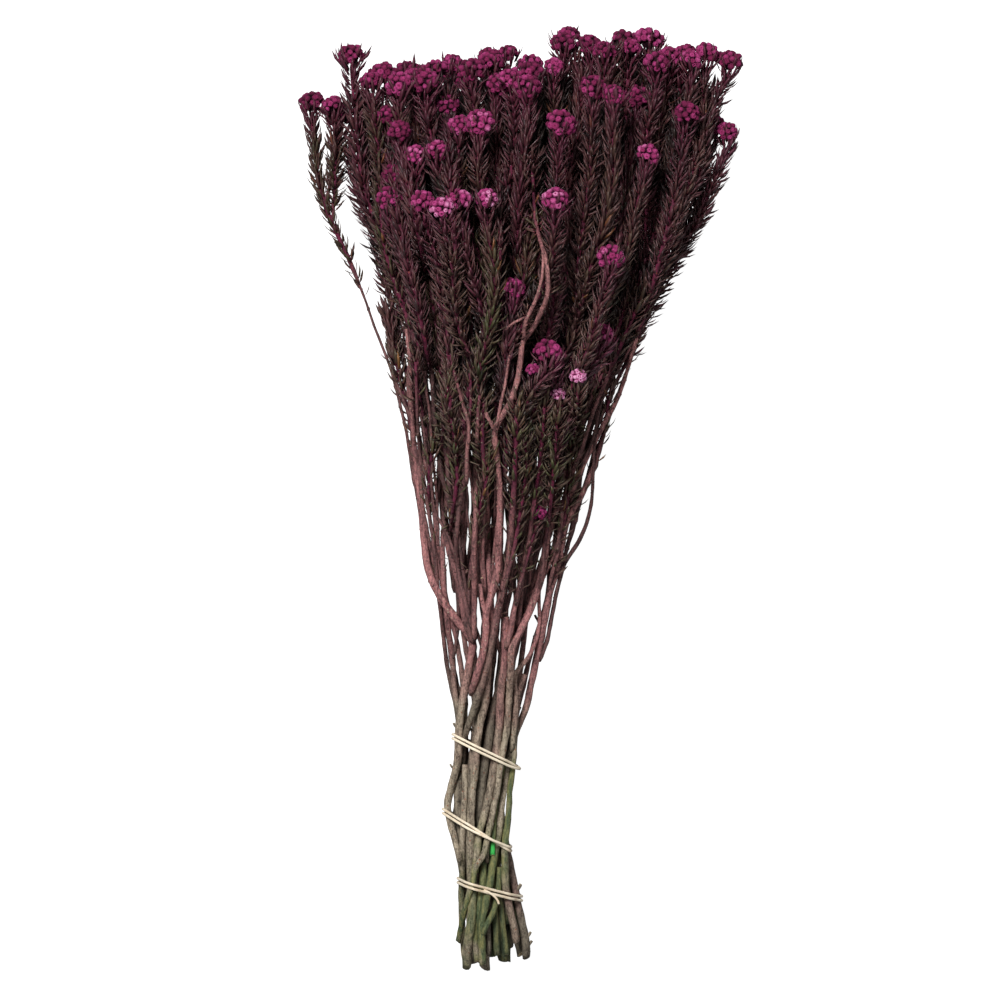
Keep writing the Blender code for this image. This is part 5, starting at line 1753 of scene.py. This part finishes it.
def leafTree():
    # Leaves in a spiral along every shoot line, kept above the surface that the bunch lies on.
    tree, given, result = newTree(
        "leafSpiral", ("Leaves", "Collection", None), ("Spacing", "Float", 0.0006),
        ("Divergence", "Float", 2.4), ("Seed", "Int", 1),
        ("Material", "Material", None))
    curve = outOf(tree, "GeometryNodeMeshToCurve", {0: given["Geometry"]})
    row = put(tree, "GeometryNodeCurveToPoints", {0: curve, "Length": given["Spacing"]}, mode="LENGTH")
    seed = given["Seed"]
    extra = calc("GREATER_THAN", anyOf(0.0, 1.0, seed), fieldOf(tree, "keep"))
    kept = put(tree, "GeometryNodeDeleteGeometry", {0: row.outputs["Points"], 1: extra}, domain="POINT")
    along = put(tree, "FunctionNodeAlignRotationToVector", {"Vector": row.outputs["Tangent"]}, axis="Z")
    index = outOf(tree, "GeometryNodeInputIndex")
    jitter = anyOf(-0.3, 0.3, seed, 11.0)
    turn = add(times(index, given["Divergence"]), jitter)
    facing = turned(along.outputs[0], (0, 0, 1), turn)
    radius = vector(tree, fieldOf(tree, "coreRadius"))
    offset = outOf(tree, "FunctionNodeRotateVector", {0: radius, 1: facing})
    placed = outOf(tree, "GeometryNodeSetPosition", {0: kept.outputs[0], "Offset": offset})
    tilt = times(fieldOf(tree, "leafTilt"), anyOf(0.72, 1.25, seed, 12.0))
    leaning = turned(facing, (0, 1, 0), tilt)
    rolled = turned(leaning, (0, 0, 1), anyOf(-0.45, 0.45, seed, 13.0))
    size = times(fieldOf(tree, "leafSize"), anyOf(0.78, 1.14, seed, 14.0))
    leaves = copied(placed, given["Leaves"], size, 15, Rotation=rolled)
    solid = solidOf(toned(leaves, "leafTone", seed, 16.0))
    place = outOf(tree, "GeometryNodeInputPosition")
    parts = put(tree, "ShaderNodeSeparateXYZ", {0: place}).outputs
    # below 1 mm the leaves flatten out towards the surface and never reach it
    above = parts[2]
    shallow = calc("MINIMUM", times(above, 1000.0), 1.0)
    pressed = times(calc("EXPONENT", less(shallow, 1.0)), 0.001)
    inAir = calc("GREATER_THAN", above, 0.001)
    height = outOf(tree, "ShaderNodeMix", {0: inAir, 2: pressed, 3: above}, data_type="FLOAT")
    resting = vector(tree, parts[0], parts[1], height)
    lying = outOf(tree, "GeometryNodeSetPosition", {0: solid, "Position": resting})
    return finished(tree, lying, given["Material"], result)


def leafRun(shoot, random):
    # Where a shoot has leaves, and how large, open and dense they are along it.
    line, tip = shoot["line"], shoot["line"][-1, 1]
    leaf = shoot["leaf"]
    first = leaf - shoot.get("straggle", leafLook["straggle"]) if shoot["bare"] else line[0, 1] + 5
    chosen = (line[:, 1] > first) & (line[:, 1] < tip - (1.2 if shoot["head"] else 2.0))
    line, core = line[chosen][::2], shoot["radii"][chosen][::2]
    y = line[:, 1]
    near = between(tip - 30, tip - 8, y)
    cup = between(tip - 13, tip - 3, y) * (shoot["headSize"] if shoot["head"] else 0.0)
    low = between(leaf + 45, leaf, y)
    tilt = leafLook["tilt"] + (leafLook["tiltLow"] - leafLook["tilt"]) * low
    tilt = tilt + (leafLook["tiltHead"] - tilt) * near
    keep = np.where(y < leaf, 0.07, 0.3 + 0.7 * between(0, 80, y - leaf)) if shoot["bare"] else 1.0
    tilt = tilt * random.uniform(*leafLook["tilts"])
    size = (1 - 0.2 * low) * (1 - 0.04 * near) * random.uniform(*leafLook["sizes"])
    keep = keep * (1 - leafLook["thinning"] * envelope.depth(line, 9, 15) * between(150, 100, y))
    return line, {
        "leafTilt": np.radians(tilt), "leafSize": size, "keep": keep * random.uniform(0.8, 1.0),
        "coreRadius": (core * 0.8 + leafLook["cup"] * cup) / 1000,
        "nearHead": near * (1.0 if shoot["head"] else 0.3),
        # inner: how deep the shoot lies inside the bunch, which paints shade on its leaves
        "shootTone": shoot.get("tone", random.random() ** 1.3), "inner": envelope.depth(line, 2.5, 10),
    }


def makeLeaves(shoots):
    kinds = [leafMesh(f"leaf{k}", curl, twist) for k, (curl, twist) in
             enumerate(zip(leafLook["curls"], (0.0, 0.35, -0.5)))]
    shelf = prototypes("leafShelf", kinds)
    tree = leafTree()
    total = 0
    for number, label, random in eachSprig(900):
        heap = Heap()
        for shoot in shoots:
            if shoot["sprig"] == number and shoot["leaf"] < shoot["line"][-1, 1]:
                line, values = leafRun(shoot, random)
                heap.add(line, **values)
        values = {"Leaves": shelf, "Spacing": leafLook["spacing"] / 1000, "Seed": number,
                  "Divergence": math.radians(leafLook["divergence"]), "Material": leafSkin}
        grown = grow(heap.mesh("shootLines"), tree, values, f"leaves{label}")
        dropValues(grown, "keep", "coreRadius", "leafTilt", "leafSize")
        addPiece(grown, "leaf", f"leafy_shoots_{label}")
        total += len(grown.vertices) // 8
    clearShelf(shelf)
    print("leaves grown:", total)


headLook = {
    "knobs": 23, "knobRadius": 2.05,
    "reach": 6.1,          # mm from the middle of a head to the middle of its knobs
    "flat": 0.16,          # how much lower than wide a head is
    "spread": 106.0,       # degrees from the top of a head down to its lowest knobs
    "heart": 4.6,          # radius of the ball that the knobs sit on, near-black as painted shade between them
    "lean": 0.6,           # how much the heads face outwards and up
    "sizes": (0.74, 1.12),
    "ruffle": 0.0014,      # m by which the wool strays
    "tone": 0.3, "spreadTone": 0.2,    # how pale the heads are, and how much that differs
    "frontTone": 0.2,      # painted light: how much paler the foremost ones are, as nearer the lamp
    "lowTone": 0.18,       # and the ones below these heights, in mm
    "lowHeights": (212, 150),
}


def headTree():
    # Each point becomes a dome of woolly knobs around a heart ball, coloured near-black as painted shade
    # between the knobs.
    tree, given, result = newTree(
        "flowerDome", ("Knobs", "Collection", None), ("Heart", "Collection", None),
        ("Count", "Int", 24), ("Reach", "Float", 0.0055),
        ("Spread", "Float", 1.9), ("Flat", "Float", 0.3),
        ("Divergence", "Float", 2.4),
        ("Seed", "Int", 1), ("Material", "Material", None))
    seed = given["Seed"]
    axis = vector(tree, *(fieldOf(tree, name) for name in ("axisX", "axisY", "axisZ")))
    points = outOf(tree, "GeometryNodeMeshToPoints", {0: given["Geometry"]})
    plugs = {0: points, "Amount": given["Count"]}
    copies, index = put(tree, "GeometryNodeDuplicateElements", plugs, domain="POINT").outputs
    place = calc("DIVIDE", add(index, 0.5), given["Count"])
    drop = less(1.0, calc("COSINE", given["Spread"]))
    polar = calc("ARCCOSINE", less(1.0, times(place, drop)))
    polar = add(polar, anyOf(-0.09, 0.09, seed, 21.0))
    turn = add(times(index, given["Divergence"]),
                times(fieldOf(tree, "headTurn"), 6.283))
    turn = add(turn, anyOf(-0.14, 0.14, seed, 22.0))
    upright = outOf(tree, "FunctionNodeAlignRotationToVector", {"Vector": axis}, axis="Z")
    leaning = turned(turned(upright, (0, 0, 1), turn), (0, 1, 0), polar)
    reach = times(times(given["Reach"], fieldOf(tree, "headSize")),
                 anyOf(0.9, 1.06, seed, 23.0))
    offset = outOf(tree, "FunctionNodeRotateVector", {0: vector(tree, 0.0, 0.0, reach), 1: leaning})
    along = calcVector("DOT_PRODUCT", offset, axis, "Value")
    lower = times(along, times(given["Flat"], -1.0))
    offset = calcVector("ADD", offset, calcVector("SCALE", axis, lower))
    spread = outOf(tree, "GeometryNodeSetPosition", {0: copies, "Offset": offset})
    size = add(0.3, times(fieldOf(tree, "headSize"), 0.7))
    size = times(size, anyOf(0.8, 1.16, seed, 24.0))
    tipped = turned(leaning, (1, 0, 0), anyOf(-0.2, 0.2, seed, 26.0))
    knobs = copied(spread, given["Knobs"], size, 25, Rotation=tipped)
    knobs = toned(knobs, "knobTone", seed, 27.0)
    hearts = copied(points, given["Heart"], fieldOf(tree, "headSize"))
    solid = solidOf(joined(knobs, hearts))
    noise = put(tree, "ShaderNodeTexNoise", {"Scale": 620.0, "Detail": 2.0}).outputs["Color"]
    ruffled = calcVector("SUBTRACT", noise, (0.5, 0.5, 0.5))
    ruffled = calcVector("SCALE", ruffled, headLook["ruffle"])
    woolly = outOf(tree, "GeometryNodeSetPosition", {0: solid, "Offset": ruffled})
    return finished(tree, woolly, given["Material"], result)


def headSize(strand):
    # Full-blown heads and smaller ones, none so large that it would reach into the surface.
    share = abs(math.sin(12.9 * strand["tip"][0] + 78.2 * strand["tip"][1]) * 43.7) % 1.0
    if strand["tip"][1] < 78:
        return 0.5
    low, high = headLook["sizes"]
    return min(low + (high - low) * share, strand["tip"][2] / (headLook["reach"] + headLook["knobRadius"]))


def makeHeads(lines, shoots):
    r = headLook["knobRadius"]
    profile = ((0, -0.75), (0.62, -0.62), (0.98, 0.0), (0.88, 0.52), (0.48, 0.84), (0.2, 0.6), (0, 0.4))
    bud = ((0, -0.75), (0.62, -0.62), (0.95, 0.0), (0.82, 0.5), (0.46, 0.86), (0, 0.98))
    crown = {"crown": (0, 0, 0.12, 0.6, 1, 0.5, 0), "dimple": (0, 0, 0, 0, 0, 0.6, 1)}
    budCrown = {"crown": (0, 0, 0.12, 0.5, 0.85, 1), "dimple": (0, 0, 0, 0, 0, 0)}
    scaled = tuple((a * r, b * r) for a, b in profile)
    knobs = [knobMesh("knobA", scaled, 8, crown),
             knobMesh("knobB", scaled, 10, crown, lobes=0.13),
             knobMesh("knobC", tuple((a * r, b * r) for a, b in bud), 8, budCrown)]
    knobShelf = prototypes("knobShelf", knobs)
    heart = headLook["heart"]
    turns = np.radians((180, 140, 100, 60, 25, 0))
    heartProfile = tuple((heart * math.sin(a), heart * math.cos(a)) for a in turns)
    heartShelf = prototypes("heartShelf", [knobMesh("heart", heartProfile, 10, {"heart": (1,) * 6})])
    tree = headTree()
    for number, label, random in eachSprig(1300):
        heap, groups = Heap(), set()
        for i, strand in enumerate(strands):
            if strand["sprig"] != number:
                continue
            line = lines[i]
            along = line[-1] - line[-8]
            along /= np.linalg.norm(along)
            centre, width, depth, lift = formAt(strand["tip"][1])
            x, y, z = line[-1]
            out = np.array((0.5 * (x - centre) / width, 0.0, (z - lift - depth) / depth))
            axis = along + headLook["lean"] * (out + (0, 0, 0.5) + random.normal(0, 0.3, 3))
            axis /= np.linalg.norm(axis)
            # painted light: heads that stand higher, nearer the lamp, are made paler
            front = np.clip(z / 115.0, 0, 1)
            tone = headLook["tone"] + headLook["frontTone"] * front
            tone += headLook["lowTone"] * between(*headLook["lowHeights"], y)
            tone += random.uniform(-headLook["spreadTone"], headLook["spreadTone"])
            heap.add(line[-1:] + (0, 0.4, 0), axisX=axis[0], axisY=axis[1], axisZ=axis[2], headTone=tone,
                     headSize=headSize(strand), headTurn=random.random())
            groups.add(strand["group"])
        for shoot in shoots:
            if shoot["sprig"] == number and shoot.get("small"):
                size, tone = shoot["small"]
                heap.add(shoot["line"][-1:] + (0, 1.0, shoot["rise"]), axisX=0.1, axisY=0.7, axisZ=0.7,
                         headTone=tone, headSize=size, headTurn=random.random())
        values = {"Knobs": knobShelf, "Heart": heartShelf, "Count": headLook["knobs"],
                  "Reach": headLook["reach"] / 1000, "Flat": headLook["flat"],
                  "Spread": math.radians(headLook["spread"]),
                  "Divergence": math.radians(leafLook["divergence"]), "Seed": number, "Material": wool}
        grown = grow(heap.mesh("headPoints"), tree, values, f"flowerHeads{label}")
        dropValues(grown, "axisX", "axisY", "axisZ", "headSize", "headTurn")
        addPiece(grown, "flower", *(f"flower_heads_{label}_{group}" for group in sorted(groups)))
    clearShelf(knobShelf)
    clearShelf(heartShelf)
    print("flower heads grown")


bandLook = {
    "sides": 10, "step": 1.2, "width": 0.72, "height": 0.8,
    "bite": 1.25,            # how far the bands press into the stems, in mm
    "holds": 12,             # mm above and below a band that a stem passes to be held by it
    # the loose end of the lower band, in mm
    "looseEnd": ((-21.5, -216.2), (-18.5, -217.6), (-15.6, -219.6), (-13.6, -222.2), (-12.9, -224.6)),
    "looseRadii": (0.72, 0.62), "looseLift": (0.9, 1.8),
}


def closedLoop(path, step):
    # A smooth closed curve through the path's points, at even steps.
    count = len(path)
    around = np.vstack((path[-1:], path, path[:2]))
    out = []
    for k in range(count):
        a, b, c, d = around[k:k + 4]
        for t in np.linspace(0, 1, 9)[:-1]:
            out.append(0.5 * (2 * b + (c - a) * t + (2 * a - 5 * b + 4 * c - d) * t**2
                              + (3 * b - a - 3 * c + d) * t**3))
    out = np.array(out + out[:1])
    run = runAlong(out)
    at = np.linspace(0, run[-1], int(run[-1] / step) + 1)[:-1]
    return np.column_stack([np.interp(at, run, out[:, axis]) for axis in range(3)])


def bandShape(heap, line):
    # A rubber band's square-edged cord, closed on itself.
    sides = bandLook["sides"]
    along = np.roll(line, -1, axis=0) - np.roll(line, 1, axis=0)
    along /= np.linalg.norm(along, axis=1)[:, None]
    out = line - line.mean(axis=0)
    out -= (out * along).sum(axis=1)[:, None] * along
    out /= np.linalg.norm(out, axis=1)[:, None]
    side = np.cross(along, out)
    turns = 2 * math.pi * (np.arange(sides) + 0.5) / sides
    square = (np.abs(np.cos(turns)) ** 5 + np.abs(np.sin(turns)) ** 5) ** (-1 / 5)
    x = bandLook["width"] * square * np.cos(turns)
    z = bandLook["height"] * square * np.sin(turns)
    rings = line[:, None] + x[:, None] * side[:, None] + z[:, None] * out[:, None]
    faces = quads(0, len(line), sides, closed=True)
    heap.add(rings.reshape(-1, 3), [(a, d, c, b) for a, b, c, d in faces])


class Laid:
    # A stem as a band meets it.

    def __init__(self, shoot):
        self.line, self.radii = shoot["line"], shoot["radii"]

    def section(self, y):
        values = (self.line[:, 0], self.line[:, 2], self.radii - bandLook["bite"])
        return [np.interp(y, self.line[:, 1], one) for one in values]


def makeBands(shoots):
    names = {"rubber_band_upper": "rubberBandUpper", "rubber_band_middle": "rubberBandMiddle",
             "rubber_band_lower": "rubberBandLower"}
    for band in bands:
        heap = Heap()
        low, high = band["y"] - bandLook["holds"], band["y"] + bandLook["holds"]
        held = [Laid(one) for one in shoots if one["line"][0, 1] < low and one["line"][-1, 1] > high]
        bandShape(heap, closedLoop(bandPath(band, held), bandLook["step"]))
        if band["name"] == "rubber_band_lower":
            end = np.array(bandLook["looseEnd"])
            run = np.arange(len(end)) * 3.0
            flat = smoothed(run, end, np.arange(0, run[-1], 0.8))
            resting = heights.rest(flat, np.full(len(flat), 0.7)).max()
            z = resting + np.linspace(*bandLook["looseLift"], len(flat))
            radii = np.linspace(*bandLook["looseRadii"], len(z))
            heap.add(*closedTube(np.column_stack((flat, z)), radii, bandLook["sides"] - 2))
        mesh = heap.mesh(names[band["name"]])
        mesh.materials.append(rubber)
        addPiece(mesh, "rubber", band["name"])
    print("bands made")


lines = traceLines()
envelope = Envelope()
heights = Heights()
shoots = grownShoots(lines) + fillShoots(lines) + layStems(lines, heights)
for shoot in shoots:
    leafy = shoot["line"][:, 1] > shoot["leaf"] + 10
    envelope.add(shoot["line"], np.where(leafy, shootRadius * 0.8, shoot["radii"]))
makeStems(shoots)
makeLeaves(shoots)
makeHeads(lines, shoots)
makeBands(shoots)


studio = {
    "view": (-12.4, -0.3),    # layout mm in the middle of the picture
    "across": 550.0,          # mm that the picture spans at the middle of the bunch
    "middle": 62.0,           # mm, height where that is measured
    "distance": 3200.0,       # mm from there to the camera
    "sensor": 36.0,
    "glow": 1.0,              # how far the table is lit through from below
    "world": 0.15,
    "lamps": (("key", 150.0, 1.0, -0.9, 1.5, 3.1), ("fill", 6.0, 1.2, 0.9, -0.5, 1.8)),    # W, m, place
    "table": 30.0, "below": -0.0004,    # m, half its width and the height of its top
}


def makeStudio():
    # A white table under soft light, seen from straight above.
    scene = bpy.context.scene
    scene.view_settings.view_transform = "Standard"
    size = studio["table"]
    corners = [(-size, -size, 0), (size, -size, 0), (size, size, 0), (-size, size, 0)]
    mesh = bpy.data.meshes.new("table")
    mesh.from_pydata(corners, [], [(0, 1, 2, 3)])
    paper, tree, shader = newMaterial("paper", Roughness=0.9)
    grain = blotches(tree, 6.0, 0.5, srgb(250, 250, 250), srgb(254, 254, 254), 0.3)["Color"]
    seen = put(tree, "ShaderNodeLightPath").outputs["Is Camera Ray"]
    shader.inputs["Base Color"].default_value = srgb(150, 150, 150)
    tree.links.new(mixColour(seen, (0, 0, 0, 1), grain), shader.inputs["Emission Color"])
    shader.inputs["Emission Strength"].default_value = studio["glow"]
    mesh.materials.append(paper)
    table = bpy.data.objects.new("table", mesh)
    table.location.z = studio["below"]
    scene.collection.objects.link(table)
    table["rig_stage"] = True
    world = bpy.data.worlds.new("softbox")
    scene.world = world
    world.use_nodes = True
    world.node_tree.nodes["Background"].inputs["Color"].default_value = (1.0, 1.0, 1.0, 1.0)
    world.node_tree.nodes["Background"].inputs["Strength"].default_value = studio["world"]
    for name, energy, width, *place in studio["lamps"]:
        light = bpy.data.lights.new(name, "AREA")
        light.energy, light.size = energy, width
        lamp = bpy.data.objects.new(name, light)
        lamp.location = place
        aim = np.array((0, 0, 0.03)) - np.array(place)
        lamp.rotation_euler = (math.atan2(math.hypot(aim[0], aim[1]), -aim[2]), 0.0,
                               math.atan2(aim[1], aim[0]) - math.pi / 2)
        scene.collection.objects.link(lamp)
    lens = bpy.data.cameras.new("camera")
    lens.sensor_width = studio["sensor"]
    lens.lens = studio["sensor"] * studio["distance"] / studio["across"]
    lens.clip_end = 20.0
    camera = bpy.data.objects.new("camera", lens)
    camera.location = toFrame((*studio["view"], studio["middle"] + studio["distance"]))
    scene.collection.objects.link(camera)
    scene.camera = camera
    print("studio set")


makeStudio()
triangles = sum(len(face.vertices) - 2 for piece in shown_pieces() if "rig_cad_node" not in piece
                for face in piece.data.polygons)
print("triangles:", triangles)
[[list(corner) for corner in box] for box in (cadBox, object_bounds())]
